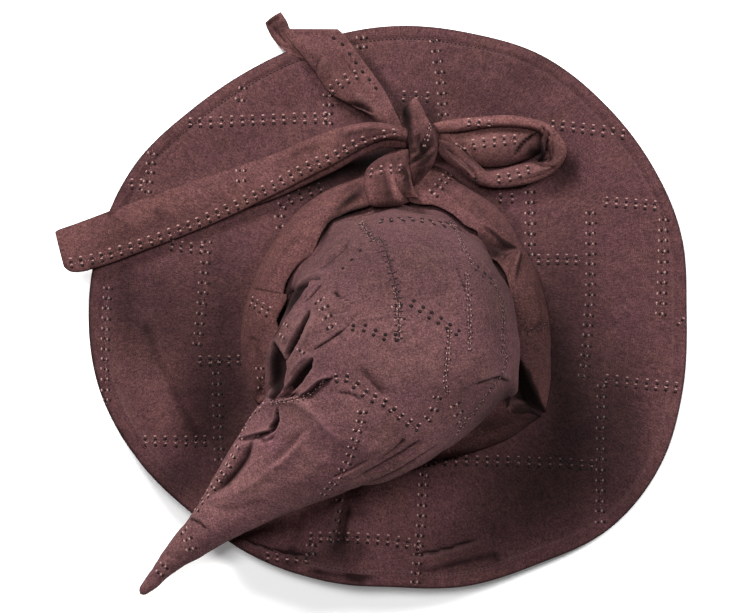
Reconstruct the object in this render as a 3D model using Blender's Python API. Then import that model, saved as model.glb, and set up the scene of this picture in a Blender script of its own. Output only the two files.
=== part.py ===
"""A slouched wizard hat of soft suede cloth, lying on its brim.

The crown is one hollow cone that bends over and droops past the edge of a wide wavy brim.
A folded sash is tied round the foot of the crown, with a knot, one bow loop and two tails.

Lengths are in millimetres until a mesh is made. The shapes are worked out round the head
opening, with X to the right and Y away from the wearer, and every piece is then placed
by its object's location, so that the origin is under the middle of the whole hat.
"""

import bpy
import numpy as np

MM = 0.001

# Driving sizes of the hat.
HEAD_X, HEAD_Y = 14.9, -10.3        # the head opening's centre, seen from the origin
HEAD_RADIUS = 92.0                  # outside of the crown where it meets the brim
BRIM_WALL = 2.4
CROWN_WALL = 2.0
SASH_WALL = 3.0                     # the sash is cloth folded double
SEWN_LAP = 4.0                      # how far the brim reaches in under the crown
GAP = 0.3                           # between touching pieces
DROOP = np.radians(227.7)           # the way the point of the crown droops, seen from above
ALONG = np.array([np.cos(DROOP), np.sin(DROOP), 0.0])
ACROSS = np.array([-np.sin(DROOP), np.cos(DROOP), 0.0])

# The brim's edge: angle in degrees, radius, height of the edge, extra curl of the last stretch.
BRIM_EDGE = (
    (0, 217, 4, 0), (15, 220, 8, 0), (30, 219, 12, 0), (45, 218, 14, 0),
    (60, 218, 13, 0), (75, 213, 10, 0), (90, 211, 8, 0), (105, 208, 8, 1),
    (120, 207, 9, 2), (135, 210, 10, 3), (150, 218, 13, 4), (165, 221, 16, 6),
    (180, 222, 19, 8), (195, 221, 20, 9), (210, 215, 19, 8), (225, 208, 17, 5),
    (240, 206, 15, 4), (255, 203, 15, 6), (270, 201, 14, 8), (285, 208, 11, 6),
    (300, 214, 8, 3), (315, 226, 5, 1), (330, 228, 3, 0), (345, 222, 2, 0),
)
BRIM_FLAT_TO = 120.0                # the brim lies flat on what it rests on as far as this radius
BRIM_RISE_POWER = 1.3
BRIM_CURL = 24.0                    # width of the curled stretch at the edge
BRIM_EASE = 20.0                    # over this width past the flat ring the swells set in

# Swells in the brim: two ends x y x y, height, half width.
BRIM_SWELLS = (
    (-180, -13, -150, -80, 4, 16),
    (-24, -150, -26, -188, 5, 11),
    (-62, -140, -74, -176, 4, 10),
    (22, -188, 74, -180, 4, 8),
    (120, -150, 150, -120, 3, 20),
    (60, 170, 120, 150, 3, 22),
    (-120, 140, -80, 175, 3, 18),
)

# The crown's sections, foot to point. Each lies in a plane through its back point and its
# front point (distance along the droop, height), and reaches left and right of that plane.
CROWN_SECTIONS = (
    # back s, back z, front s, front z, left, right
    (-92, 2.7, 92, 2.7, -92, 92),
    (-91.5, 9, 91.5, 9, -91.5, 91.5),
    (-78, 33, 84, 31, -75, 85),
    (-77, 60, 94, 44, -75, 94),
    (-68, 94, 102, 53, -69, 98),
    (-47, 117, 107, 58, -63, 94),
    (-12, 130, 112, 58, -56, 89),
    (27, 133, 118, 54, -50, 82),
    (66, 124, 127, 49, -31, 68),
    (105, 105, 140, 43, -27, 57),
    (150, 83, 160, 37, -20, 41),
    (196, 63, 197, 33, -10, 25),
    (240, 48, 239, 32, -7, 12),
    (263, 43, 262, 33, -4, 8),
)
CROWN_TIP = (270.0, 2.0, 38.0)      # along, across, height

# Corners that the cloth is drawn out to or pushed in at: place x y z, move x y z, radius.
CROWN_PULLS = (
    (77, -51, 50, 13.5, -12.0, -2.0, 12),
    (-83, -46, 56, 9.0, -6.0, -7.0, 11),
)

# Folds pressed into the crown, seen from above: x y to x y, depth, width before, width after.
CROWN_FOLDS = (
    (-60, 3, -80, -36, 7, 6, 8),
    (-55, -32, -88, -66, 9, 6, 10),
    (-20, 66, -66, 22, 3, 6, 10),
    (-112, -92, -88, -84, 5, 6, 6),
    (-106, -100, -136, -138, 4, 5, 7),
    (14, -97, -16, -122, 3, 5, 6),
    (46, 36, 60, 12, 2, 5, 9),
)
# Gathers that the tied sash makes: how many, how deep, their section, spread in sections.
GATHERS = (13, 1.6, 2.2, 0.9)
# Pleats inside the bend: sections for each, depth, first section, last section.
UNDER_PLEATS = (1.9, 4.0, 3.0, 8.5)

# The sash round the crown: angle in degrees, radius of its foot out on the brim.
SASH_FOOT = (
    (0, 114), (15, 110), (30, 108), (45, 108), (60, 108), (75, 106),
    (90, 104), (105, 103), (120, 102), (135, 102), (150, 102), (165, 105),
    (180, 110), (195, 116), (210, 119), (225, 113), (240, 107), (255, 107),
    (270, 109), (285, 112), (300, 119), (315, 127), (330, 129), (345, 120),
)
SASH_LOW, SASH_HIGH = 3.9, 30.0     # heights of the band's two edges
SASH_CLEAR = 2.6                    # from the crown to the middle of the band's wall
SASH_ARCH = 3.0
WAIST_BAND = 5.0                    # the crown is measured this far above and below SASH_HIGH
WAIST_TURN = 4.0                    # and this many degrees to each side
RIBBON_CLEAR = 0.5                  # least gap between a ribbon and the brim under it
RIBBON_PAST = 8.0                   # past the brim's edge by this much a ribbon hangs free

# Ribbons of the sash. A row is one cross-section: its two edges as x y z x y z, then how far
# it arches up between them. Heights are above the brim's upper face.
TAIL_LONG = (
    (12, 136, 29.5, 10, 121, 27.5, 2),
    (-17, 141, 25, -11, 121, 25, 3),
    (-46, 134, 15, -40, 107, 18, 3),
    (-90, 116, 5, -83, 87, 10, 2),
    (-142, 98, 1, -135, 64, 4, 1),
    (-200, 77, 4, -193, 41, 4.5, 1),
    (-247, 59, 5, -238, 29, 5, 1),
)
TAIL_SHORT = (
    (-9, 129, 12, 8, 134, 13, 1),
    (-25, 151, 9, -3, 155, 13, 2),
    (-47, 167, 3, -17, 177, 9, 2),
    (-64, 187, 1, -32, 198, 4, 1),
    (-83, 207, 3, -41, 209, 4, 0),
    (-88, 211, 0, -68, 212, 1, 1),
    (-95, 217, -4, -82, 222, -5, 2),
)
BOW_LOOP = (
    (33, 137, 24, 34, 129, 24, 1),
    (53, 141, 12, 52, 121, 11, 4),
    (79, 144, 7, 75, 113, 4, 5),
    (108, 142, 7, 101, 114.5, 3, 5),
    (124, 133, 7, 112, 119, 5, 4),
    (129, 118, 7, 117, 116.5, 5, 3),
    (121, 103, 6, 111, 113, 4, 4),
    (100, 93, 5, 98, 110.5, 2, 4),
    (78, 91, 6, 77, 108.5, 2, 4),
    (54, 101, 14, 57, 112.5, 12, 3),
    (35, 113, 23, 38, 122, 23, 1),
)
KNOT_LEAF = (
    (13, 152, 28, 16, 152, 28, 0),
    (7, 143, 32, 24, 141, 32, 3),
    (9, 131, 34, 31, 129, 32, 4),
    (10, 118, 34, 32, 115, 32, 4),
    (12, 106, 30, 30, 102, 30, 3),
    (13, 98, 25, 20, 95, 23, 1),
)
KNOT_WRAP = (
    (-13, 117, 10, 5, 120, 13, 1),
    (-20, 105, 13, 6, 110, 16, 2),
    (-22, 94, 20.6, 8, 97, 22.6, 2),
    (-19, 85, 29.6, 14, 86, 31.6, 2),
    (-17, 80, 33.4, 13, 81, 35.4, 1),
)


def through(rows, places, closed=False):
    """Values of a smooth curve through a table's rows, at fractional row numbers."""
    rows = np.asarray(rows, float)
    count = len(rows)
    if closed:
        first = np.floor(places).astype(int)
        picks = [(first + k) % count for k in (-1, 0, 1, 2)]
    else:
        first = np.clip(np.floor(places).astype(int), 0, count - 2)
        picks = [np.clip(first + k, 0, count - 1) for k in (-1, 0, 1, 2)]
    before, start, end, after = (rows[p] for p in picks)
    t = (places - first)[:, None]
    return start + 0.5 * t * (
        end - before
        + t * (2 * before - 5 * start + 4 * end - after
               + t * (3 * (start - end) + after - before))
    )


def smooth(t):
    """A gentle step from 0 to 1."""
    t = np.clip(t, 0.0, 1.0)
    return t * t * (3 - 2 * t)


def at_angle(table, angles):
    """Rows of a table whose first column is an angle in even steps, at any angles in degrees."""
    step = table[1][0] - table[0][0]
    return through([row[1:] for row in table], np.mod(angles, 360.0) / step, closed=True)


def from_segment(x, y, ends):
    """Signed distance from a segment's line, and the share of the way along it."""
    x0, y0, x1, y1 = ends
    length = np.hypot(x1 - x0, y1 - y0)
    ux, uy = (x1 - x0) / length, (y1 - y0) / length
    share = ((x - x0) * ux + (y - y0) * uy) / length
    off = -(x - x0) * uy + (y - y0) * ux
    return off, share, length


def brim_under(x, y):
    """Height of the brim's under face: flat by the crown, then rising to its wavy edge."""
    radius = np.hypot(x, y)
    edge = at_angle(BRIM_EDGE, np.degrees(np.arctan2(y, x)).ravel()).reshape(x.shape + (3,))
    reach, rise, curl = edge[..., 0], edge[..., 1], edge[..., 2]
    out = smooth((radius - BRIM_FLAT_TO) / (reach - BRIM_FLAT_TO)) ** BRIM_RISE_POWER
    height = rise * out + curl * smooth((radius - reach + BRIM_CURL) / BRIM_CURL) ** 2
    for *ends, swell, half in BRIM_SWELLS:
        off, share, length = from_segment(x, y, ends)
        past = np.maximum(0, np.abs(share - 0.5) - 0.5) * length
        height = height + swell * np.exp(-(off ** 2 + past ** 2) / half ** 2)
    return np.where(radius <= BRIM_FLAT_TO, 0.0, height * smooth((radius - BRIM_FLAT_TO) / BRIM_EASE))


def normals(points, closed_u):
    """Unit normals of a grid of points, rows along v and columns along u."""
    if closed_u:
        du = np.roll(points, -1, 1) - np.roll(points, 1, 1)
    else:
        du = np.gradient(points, axis=1)
    dv = np.gradient(points, axis=0)
    normal = np.cross(du, dv)
    return normal / np.maximum(np.linalg.norm(normal, axis=2, keepdims=True), 1e-9)


def crown_surface(places, turns):
    """The crown's outer face: ellipses through the sections, then gathers, pleats and folds."""
    rows = through(CROWN_SECTIONS, places)
    back_s, back_z, front_s, front_z, left, right = (rows[:, k, None] for k in range(6))
    angle = -2 * np.pi * turns[None, :]
    swing, side = np.cos(angle), np.sin(angle)
    along = (back_s + front_s) / 2 + (back_s - front_s) / 2 * swing
    height = (back_z + front_z) / 2 + (back_z - front_z) / 2 * swing
    across = (left + right) / 2 + (right - left) / 2 * side
    points = along[..., None] * ALONG + across[..., None] * ACROSS
    points[..., 2] = height
    outward = normals(points, closed_u=True)

    row = places[:, None]
    count, deep, middle, spread = GATHERS
    tied = np.exp(-((row - middle) / spread) ** 2) * smooth(row)
    push = deep * tied * np.sin(count * angle + np.sin(2 * angle))
    pitch, deep, first, final = UNDER_PLEATS
    inside = smooth(-swing) * smooth(row - first + 0.5) * smooth((final - row) / 2)
    push = push + deep * inside * np.sin(2 * np.pi * (row - first) / pitch)
    facing = smooth(outward[..., 2] / 0.5)
    for x0, y0, x1, y1, depth, before, after in CROWN_FOLDS:
        off, share, _ = from_segment(points[..., 0], points[..., 1], (x0, y0, x1, y1))
        width = np.where(off < 0, before, after)
        ends = smooth(share / 0.3 + 0.2) * smooth((1 - share) / 0.3 + 0.2)
        push = push - depth * ends * facing * np.exp(-(off / width) ** 2)
    points = points + outward * push[..., None]
    for x, y, z, *move, radius in CROWN_PULLS:
        apart = np.linalg.norm(points - (x, y, z), axis=-1)
        points = points + np.exp(-(apart / radius) ** 1.3)[..., None] * move
    return points


def new_piece(name, points, faces, wall, offset, colour, roughness):
    """Makes a named object of open cloth, gives it its wall, and sets it in its place."""
    mesh = bpy.data.meshes.new(name)
    mesh.from_pydata((points * MM).tolist(), [], faces)
    mesh.update()
    mesh.shade_smooth()
    piece = bpy.data.objects.new(name, mesh)
    bpy.context.scene.collection.objects.link(piece)
    piece.location = (HEAD_X * MM, HEAD_Y * MM, 0)
    solid = piece.modifiers.new("wall", "SOLIDIFY")
    solid.thickness = wall * MM
    solid.offset = offset
    paint = bpy.data.materials.new(name)
    paint.use_nodes = True
    shader = paint.node_tree.nodes["Principled BSDF"]
    shader.inputs["Base Color"].default_value = (*colour, 1)
    shader.inputs["Roughness"].default_value = roughness
    shader.inputs["Metallic"].default_value = 0
    mesh.materials.append(paint)
    return piece


def grid_faces(rows, columns, closed_u=False, closed_v=False):
    """Quads of a grid, wrapped round in either direction where it is closed."""
    wide = columns if closed_u else columns - 1
    long = rows if closed_v else rows - 1
    return [
        (j * columns + i, j * columns + (i + 1) % columns,
         (j + 1) % rows * columns + (i + 1) % columns, (j + 1) % rows * columns + i)
        for j in range(long)
        for i in range(wide)
    ]


def crown():
    """One hollow cone, open at its foot and closed at its point."""
    round_count, steps = 48, 32
    last = len(CROWN_SECTIONS) - 1
    turns = np.arange(round_count) / round_count
    grid = crown_surface(np.linspace(0, last, steps), turns)
    grid[0, :, 2] = BRIM_WALL + GAP
    along, across, height = CROWN_TIP
    tip = along * ALONG + across * ACROSS + (0, 0, height)
    points = np.vstack([grid.reshape(-1, 3), tip])
    faces = grid_faces(steps, round_count, closed_u=True)
    rim, top = (steps - 1) * round_count, steps * round_count
    faces += [(rim + i, rim + (i + 1) % round_count, top) for i in range(round_count)]
    return new_piece("crown", points, faces, CROWN_WALL, -1, (0.153, 0.076, 0.080), 0.9)


def brim():
    """A wide ring of stiffened cloth, flat by the crown and waving towards its edge."""
    shares = np.array([0, 0.11, 0.22, 0.40, 0.58, 0.76, 0.89, 1.0])
    angles = np.arange(0, 360, 5.0)
    inner = HEAD_RADIUS - SEWN_LAP
    reach = at_angle(BRIM_EDGE, angles)[:, 0]
    radius = inner + shares[:, None] * (reach - inner)
    x, y = radius * np.cos(np.radians(angles)), radius * np.sin(np.radians(angles))
    points = np.stack([x, y, brim_under(x, y)], axis=2).reshape(-1, 3)
    faces = [face[::-1] for face in grid_faces(len(shares), len(angles), closed_u=True)]
    return new_piece("brim", points, faces, BRIM_WALL, 1, (0.105, 0.050, 0.053), 0.92)


def waist(angles):
    """Radius of the crown in the directions given in degrees, at the sash's upper edge."""
    rings = crown_surface(np.linspace(1.4, 2.5, 12), np.arange(360) / 360)
    beside = np.abs(rings[..., 2] - SASH_HIGH) < WAIST_BAND
    radius = np.where(beside, np.hypot(rings[..., 0], rings[..., 1]), 0)
    bearings = np.degrees(np.arctan2(rings[..., 1], rings[..., 0]))
    turn = np.mod(bearings[None] - np.asarray(angles)[:, None, None] + 180, 360) - 180
    return np.where(np.abs(turn) < WAIST_TURN, radius[None], 0).max(axis=(1, 2))


def sash_band():
    """The sash's turn round the crown: foot out on the brim, upper edge in the tied waist."""
    angles = np.arange(0, 360, 6.0)
    heading = np.radians(angles)
    foot = at_angle(SASH_FOOT, angles)[:, 0]
    top = waist(angles) + SASH_CLEAR
    rows = []
    for share in (0, 0.35, 0.7, 1.0):
        bulge = SASH_ARCH * 4 * share * (1 - share)
        radius = foot + share * (top - foot) + bulge
        height = np.full_like(radius, SASH_LOW + share * (SASH_HIGH - SASH_LOW) + bulge)
        rows.append(np.stack([radius * np.cos(heading), radius * np.sin(heading), height], axis=1))
    faces = grid_faces(len(rows), len(angles), closed_u=True)
    colour = (0.145, 0.070, 0.068)
    return new_piece("sash_band", np.concatenate(rows), faces, SASH_WALL, 0, colour, 0.9)


def ribbon(name, table, steps):
    """A flat strip of sash through a table's cross-sections, kept clear of the brim."""
    rows = through(table, np.linspace(0, len(table) - 1, steps))
    across = np.array([0, 0.25, 0.5, 0.75, 1.0])[None, :, None]
    left, right = rows[:, None, 0:3], rows[:, None, 3:6]
    points = left * (1 - across) + right * across
    upward = np.cross(right - left, np.gradient((left + right) / 2, axis=0))
    upward = upward * np.sign(upward[..., 2:3]) / np.linalg.norm(upward, axis=2, keepdims=True)
    points = points + upward * rows[:, None, 6:7] * 4 * across * (1 - across)
    x, y = points[..., 0], points[..., 1]
    face = brim_under(x, y) + BRIM_WALL
    edge = at_angle(BRIM_EDGE, np.degrees(np.arctan2(y, x)).ravel())[:, 0].reshape(x.shape)
    lowest = np.where(np.hypot(x, y) < edge + RIBBON_PAST, SASH_WALL / 2 + RIBBON_CLEAR, -np.inf)
    points[..., 2] = face + np.maximum(points[..., 2], lowest)
    faces = grid_faces(steps, across.shape[1])
    colour = (0.14, 0.066, 0.066)
    return new_piece(name, points.reshape(-1, 3), faces, SASH_WALL, 0, colour, 0.9)


def hat():
    """Clears the scene and makes every piece of the hat."""
    for old in list(bpy.data.objects):
        bpy.data.objects.remove(old)
    brim()
    crown()
    sash_band()
    ribbon("tail_long", TAIL_LONG, 16)
    ribbon("tail_short", TAIL_SHORT, 16)
    ribbon("bow_loop", BOW_LOOP, 24)
    ribbon("knot_leaf", KNOT_LEAF, 9)
    ribbon("knot_wrap", KNOT_WRAP, 9)


hat()
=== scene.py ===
# %% [markdown]
# # A slouched wizard hat of soft suede cloth
# The hat lies on its wide brim. Its hollow pointed crown folds over to one side, and a sash
# of the same cloth is knotted round the foot of the crown. The cloth is a patchwork, and its
# seams are rows of small loops and holes.
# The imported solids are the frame. Every visible piece is made here, over the solid that it
# stands for.

import bpy
import numpy as np
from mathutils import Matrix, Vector
from mathutils.bvhtree import BVHTree


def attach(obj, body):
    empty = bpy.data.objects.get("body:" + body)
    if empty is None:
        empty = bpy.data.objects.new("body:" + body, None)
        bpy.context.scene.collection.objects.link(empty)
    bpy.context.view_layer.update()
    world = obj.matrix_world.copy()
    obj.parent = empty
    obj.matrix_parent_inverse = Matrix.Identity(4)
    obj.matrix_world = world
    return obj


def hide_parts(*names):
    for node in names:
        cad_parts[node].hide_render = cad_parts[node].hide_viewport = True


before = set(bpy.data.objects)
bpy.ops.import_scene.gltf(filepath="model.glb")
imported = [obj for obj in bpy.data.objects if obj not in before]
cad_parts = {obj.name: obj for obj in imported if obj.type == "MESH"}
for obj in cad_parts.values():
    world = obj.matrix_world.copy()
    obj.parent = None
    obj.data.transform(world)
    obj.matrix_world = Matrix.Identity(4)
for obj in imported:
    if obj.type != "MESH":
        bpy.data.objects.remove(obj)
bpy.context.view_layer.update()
print("frame nodes:", ", ".join(sorted(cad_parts)))

# %% [markdown]
# ## Where things are
# Shapes are worked out in millimetres round the head opening, with X to the right and Y up
# the picture. Details that are only known from above are charted: chart x runs to the
# right and chart y down, in steps of 0.74 mm on the surface that the hat lies on. The eye is
# 1.6 m up, so a point that lies higher is charted a little further out.

# %% Sizes and the chart
MM = 0.001
HEAD = np.array([14.9, -10.3, 0.0])          # the head opening's centre in the frame
EYE = np.array([-13.3, 4.1, 1600.0])         # the camera, from the head opening's centre
CHART_STEP = 0.7414
CHART_HEAD = np.array([393.0, 312.0])

HEAD_RADIUS = 92.0
SEWN_LAP = 4.0
BRIM_WALL = 2.4
CROWN_WALL = 2.0
GAP = 0.3


def to_chart(points):
    """Where the eye sees points: each is carried along its ray down to height 0."""
    share = EYE[2] / (EYE[2] - points[..., 2])
    flat = EYE[:2] + (points[..., :2] - EYE[:2]) * share[..., None]
    return CHART_HEAD + flat * (1, -1) / CHART_STEP


def from_chart(x, y, height):
    """The reverse: the point at a height that the eye sees at a place on the chart."""
    x, y, height = np.broadcast_arrays(*(np.asarray(v, float) for v in (x, y, height)))
    flat = (np.stack([x, y], -1) - CHART_HEAD) * (1, -1) * CHART_STEP
    share = (EYE[2] - height) / EYE[2]
    spot = EYE[:2] + (flat - EYE[:2]) * share[..., None]
    return np.concatenate([spot, height[..., None]], -1)


print("one chart step is", CHART_STEP, "mm")

# %% [markdown]
# ## Tools for curves and cloth
# A few small functions do the work for all pieces: a smooth curve through a short table, a
# gentle step, and slow random drift for cloth that is never quite flat.


# %% Curve, step and drift
def through(rows, places, closed=False):
    """Catmull-Rom curve through table rows: a cubic between two rows that passes through both
    and leaves each in the direction of its neighbours."""
    rows = np.asarray(rows, float)
    count = len(rows)
    if closed:
        first = np.floor(places).astype(int)
        picks = [(first + k) % count for k in (-1, 0, 1, 2)]
    else:
        first = np.clip(np.floor(places).astype(int), 0, count - 2)
        picks = [np.clip(first + k, 0, count - 1) for k in (-1, 0, 1, 2)]
    before, start, end, after = (rows[p] for p in picks)
    t = (places - first)[:, None]
    return start + 0.5 * t * (
        end - before
        + t * (2 * before - 5 * start + 4 * end - after
               + t * (3 * (start - end) + after - before))
    )


def smooth(t):
    """A gentle step from 0 to 1: three t squared less two t cubed."""
    t = np.clip(t, 0.0, 1.0)
    return t * t * (3 - 2 * t)


def at_angle(table, angles):
    """Rows of a table whose first column is an angle in even steps, at any angles in degrees."""
    step = table[1][0] - table[0][0]
    return through([row[1:] for row in table], np.mod(angles, 360.0) / step, closed=True)


def drift(points, size, seed):
    """Random values from -1 to 1 at the corners of a lattice of cubes of the given size,
    blended between the eight corners round each point with the gentle step."""
    lattice = np.random.default_rng(seed).uniform(-1, 1, (32, 32, 32))
    place = np.asarray(points) / size
    low = np.floor(place).astype(int)
    share = smooth(place - low)
    total = 0.0
    for corner in range(8):
        pick = np.array([corner & 1, corner >> 1 & 1, corner >> 2 & 1])
        weight = np.where(pick, share, 1 - share).prod(-1)
        x, y, z = np.moveaxis((low + pick) % 32, -1, 0)
        total = total + weight * lattice[x, y, z]
    return total


def crumples(points, size, seed):
    """Sharp little creases with soft hills between: they run where the drift passes zero."""
    return np.sqrt(np.abs(drift(points, size, seed)) + 0.02) - 0.55


def uneven(height, points, rows):
    """Adds rows of drift or crumples to a height: its kind, millimetres, size and seed."""
    for kind, amount, size, seed in rows:
        height = height + amount * kind(points, size, seed)
    return height


# %% [markdown]
# ## Folds, hollows and pulls
# All of these work on a grid of points. Folds follow charted lines, pits sink charted outlines
# and pulls draw the cloth out to a corner.

# %% Normals and folds
FOLD_REACH = 2.6                     # a fold counts out to this many of its widths
FOLD_FADE = 0.3                      # the share of its length over which each end fades
FOLD_TURN = 1.6                      # chart steps over which its left turns into its right
FOLD_THIN = 0.45                     # its width at the very ends, as a share
FOLD_POWER = 1.5                     # how pointed its bell is
BELL_POWER = 1.3                     # and that of pulls and brushed places


def normals(points, closed_u):
    """Unit normals of a grid, from the cross product of its two directions."""
    if closed_u:
        du = np.roll(points, -1, 1) - np.roll(points, 1, 1)
    else:
        du = np.gradient(points, axis=1)
    dv = np.gradient(points, axis=0)
    normal = np.cross(du, dv)
    return normal / np.maximum(np.linalg.norm(normal, axis=2, keepdims=True), 1e-9)


def fold_height(seen, folds):
    """Sum of folds at charted places. A fold is a line of charted points with a height and a
    width on its left and on its right, as walked along it. Away from the line its height falls
    off as a pointed bell, and it narrows and fades out towards the line's ends."""
    total = np.zeros(seen.shape[:-1])
    for line, left, right, left_width, right_width in folds:
        path = through(line, np.linspace(0, len(line) - 1, 6 * (len(line) - 1) + 1))
        reach = FOLD_REACH * max(left_width, right_width)
        near = ((seen > path.min(0) - reach) & (seen < path.max(0) + reach)).all(-1)
        step = np.diff(path, axis=0)
        long = np.linalg.norm(step, axis=1)
        toward = seen[near][:, None] - path[:-1]
        share = np.clip((toward * step).sum(-1) / long ** 2, 0, 1)
        apart = np.linalg.norm(toward - share[..., None] * step, axis=-1)
        best = apart.argmin(1)[:, None]
        side = step[:, 0] * toward[..., 1] - step[:, 1] * toward[..., 0]
        apart, share, side = (np.take_along_axis(v, best, 1)[:, 0]
                              for v in (apart, share, side / long))
        along = (best[:, 0] + share) / len(step)
        fade = smooth(along / FOLD_FADE) * smooth((1 - along) / FOLD_FADE)
        right_share = smooth(side / FOLD_TURN + 0.5)
        thin = FOLD_THIN + (1 - FOLD_THIN) * fade
        total[near] += fade * (
            (1 - right_share) * left * np.exp(-(apart / (left_width * thin)) ** FOLD_POWER)
            + right_share * right * np.exp(-(apart / (right_width * thin)) ** FOLD_POWER))
    return total


def pits(seen, outlines):
    """Charted hollows: an outline, a depth and how wide its rim slopes. The depth is reached
    with the gentle step of the distance inside the outline; the deepest hollow counts."""
    total = np.zeros(seen.shape[:-1])
    for outline, depth, rim in outlines:
        start = np.asarray(outline, float)
        step = np.roll(start, -1, 0) - start
        step[:, 1] = np.where(step[:, 1] == 0, 1e-9, step[:, 1])
        near = ((seen > start.min(0) - rim) & (seen < start.max(0) + rim)).all(-1)
        toward = seen[near][:, None] - start
        share = np.clip((toward * step).sum(-1) / (step ** 2).sum(-1), 0, 1)
        apart = np.linalg.norm(toward - share[..., None] * step, axis=-1).min(1)
        level = toward[..., 1] / step[:, 1]
        crossed = (level >= 0) & (level < 1) & (toward[..., 0] < level * step[:, 0])
        inside = np.where(crossed.sum(1) % 2 == 1, apart, -apart)
        total[near] = np.minimum(total[near], -depth * smooth(0.5 + inside / rim))
    return total


def pulled(points, pulls):
    """Moves points near some places. A pull is a place x y z, a move x y z and a radius; the
    move falls off as a pointed bell, so that it can draw cloth out to a corner."""
    for x, y, z, dx, dy, dz, radius in pulls:
        apart = np.linalg.norm(points - (x, y, z), axis=-1)
        points = points + np.exp(-(apart / radius) ** BELL_POWER)[..., None] * (dx, dy, dz)
    return points


# %% [markdown]
# ## What the material reads
# Folded cloth is rubbed pale on its ridges, and shade is painted into its hollows. Both are
# measured on the finished grid. Places of painted light and shade are charted as well, and
# darken or lighten the cloth where no fold is.

# %% Painted hollow shade, wear and painted light and shade
SLIGHT = 0.2                         # bends below this, in millimetres, leave no mark
MARKED = 1.6                         # bends this far above it are marked in full
WIDE_POWER = 0.7                     # how much less a wide span counts


def hollow_shade_and_wear(points, closed_u, span):
    """How hollow and how ridged a grid is at each point, from 0 to 1: the point's distance
    from the mean of its neighbours at three spans, along its normal. The first is painted as
    shade in the hollows, the second as wear on the ridges."""
    outward = normals(points, closed_u)
    bend = np.zeros(points.shape[:2])
    for reach in (span, 2 * span, 4 * span):
        rows = np.clip(np.arange(points.shape[0])[:, None] + (-reach, reach), 0, len(points) - 1)
        if closed_u:
            sides = np.roll(points, reach, 1) + np.roll(points, -reach, 1)
        else:
            cols = np.clip(np.arange(points.shape[1])[:, None] + (-reach, reach), 0,
                           points.shape[1] - 1)
            sides = points[:, cols[:, 0]] + points[:, cols[:, 1]]
        mean = (sides + points[rows[:, 0]] + points[rows[:, 1]]) / 4
        bend += ((mean - points) * outward).sum(-1) / reach ** WIDE_POWER
    return tuple(np.clip(way * bend - SLIGHT, 0, MARKED) / MARKED for way in (1, -1))


def painted_light_and_shade(points, places):
    """How much shade is painted onto the cloth: one less the product of one less each place's
    bell. A place is charted x y, its reach along and across, its turn in degrees and its strength;
    a strength below zero paints light and makes it paler."""
    seen = to_chart(points)
    kept = np.ones(points.shape[:-1])
    for x, y, long, wide, turn, strength in places:
        cos, sin = np.cos(np.radians(turn)), np.sin(np.radians(turn))
        along = (seen[..., 0] - x) * cos + (seen[..., 1] - y) * sin
        across = (seen[..., 1] - y) * cos - (seen[..., 0] - x) * sin
        apart = (along / long) ** 2 + (across / wide) ** 2
        kept = kept * (1 - strength * np.exp(-apart ** BELL_POWER))
    return 1 - kept


# %% [markdown]
# ## Making meshes
# A grid of points becomes quads by numbering, without a loop over its points. A closed ring is
# capped with a fan of triangles. The sign of the enclosed volume tells whether the faces point
# outwards.


# %% Making meshes
def grid_faces(rows, columns, closed_u=False, closed_v=False):
    """Quads of a grid as an array, wrapped round in either direction where it is closed."""
    wide = columns if closed_u else columns - 1
    long = rows if closed_v else rows - 1
    j, i = np.meshgrid(np.arange(long), np.arange(wide), indexing="ij")
    after_i, after_j = (i + 1) % columns, (j + 1) % rows
    return np.stack([j * columns + i, j * columns + after_i,
                     after_j * columns + after_i, after_j * columns + i], -1).reshape(-1, 4)


def cap_faces(ring, middle, turned):
    """Triangles from a closed ring of vertex numbers to one vertex in its middle."""
    after = np.roll(ring, -1)
    fan = np.stack([ring, after, np.full_like(ring, middle)], -1)
    return fan[:, ::-1] if turned else fan


def make_piece(name, points, quads, triangles, paint, hollow_shade=None, worn=None, painted_shading=None):
    """Puts arrays of points in millimetres and faces into a mesh whose faces point outwards.
    The volume is a sixth of the sum of a . (b x c); cloth is half the area of both its sides."""
    points = (np.asarray(points, float) + HEAD) * MM
    sets = [np.asarray(part, int) for part in (quads, triangles) if len(part)]
    fans = [part[:, [0, k, k + 1]] for part in sets for k in range(1, part.shape[1] - 1)]
    a, b, c = np.moveaxis(points[np.concatenate(fans)], 1, 0)
    volume = (a * np.cross(b, c)).sum() / 6
    cloth = np.linalg.norm(np.cross(b - a, c - a), axis=1).sum() / 4
    if volume < 0:
        sets = [part[:, ::-1] for part in sets]
    mesh = bpy.data.meshes.new(name)
    mesh.from_pydata(points.tolist(), [], [face for part in sets for face in part.tolist()])
    mesh.shade_smooth()
    # The hollows' painted shade, the ridges' wear and the charted painted light and shade go to
    # the material as values on each point.
    for label, values in (("hollow_shade", hollow_shade), ("worn", worn), ("painted_shading", painted_shading)):
        if values is not None:
            layer = mesh.attributes.new(label, "FLOAT", "POINT")
            full = np.zeros(len(points), np.float32)
            full[:values.size] = values.ravel()
            layer.data.foreach_set("value", full)
    mesh.materials.append(paint)
    piece = bpy.data.objects.new(name, mesh)
    bpy.context.scene.collection.objects.link(piece)
    faces = sum(len(part) * (part.shape[1] - 2) for part in sets)
    print(f"{name}: {faces} triangles, {cloth * 1e4:.1f} cm2 of cloth")
    return piece


# %% [markdown]
# ## Suede cloth
# Brushed suede cloth has no gloss. Its colour drifts between purple and warm brown in soft
# clouds, it is finely mottled by its nap, and it catches a faint sheen at grazing angles.
# Folds rub pale along their tops, shade is painted into their hollows, and charted places of
# painted light and shade lighten or darken the colour; these come from values on each mesh's
# points. The rest is made from noise on object coordinates, so it needs no picture and doesn't
# slide when the view turns.


# %% The suede material
def add(tree, kind, place, **values):
    """A shader node with some of its sockets set by name."""
    made = tree.nodes.new(kind)
    made.location = (place * 220 - 1600, 0)
    for key, value in values.items():
        made.inputs[key.replace("_", " ")].default_value = value
    return made


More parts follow.
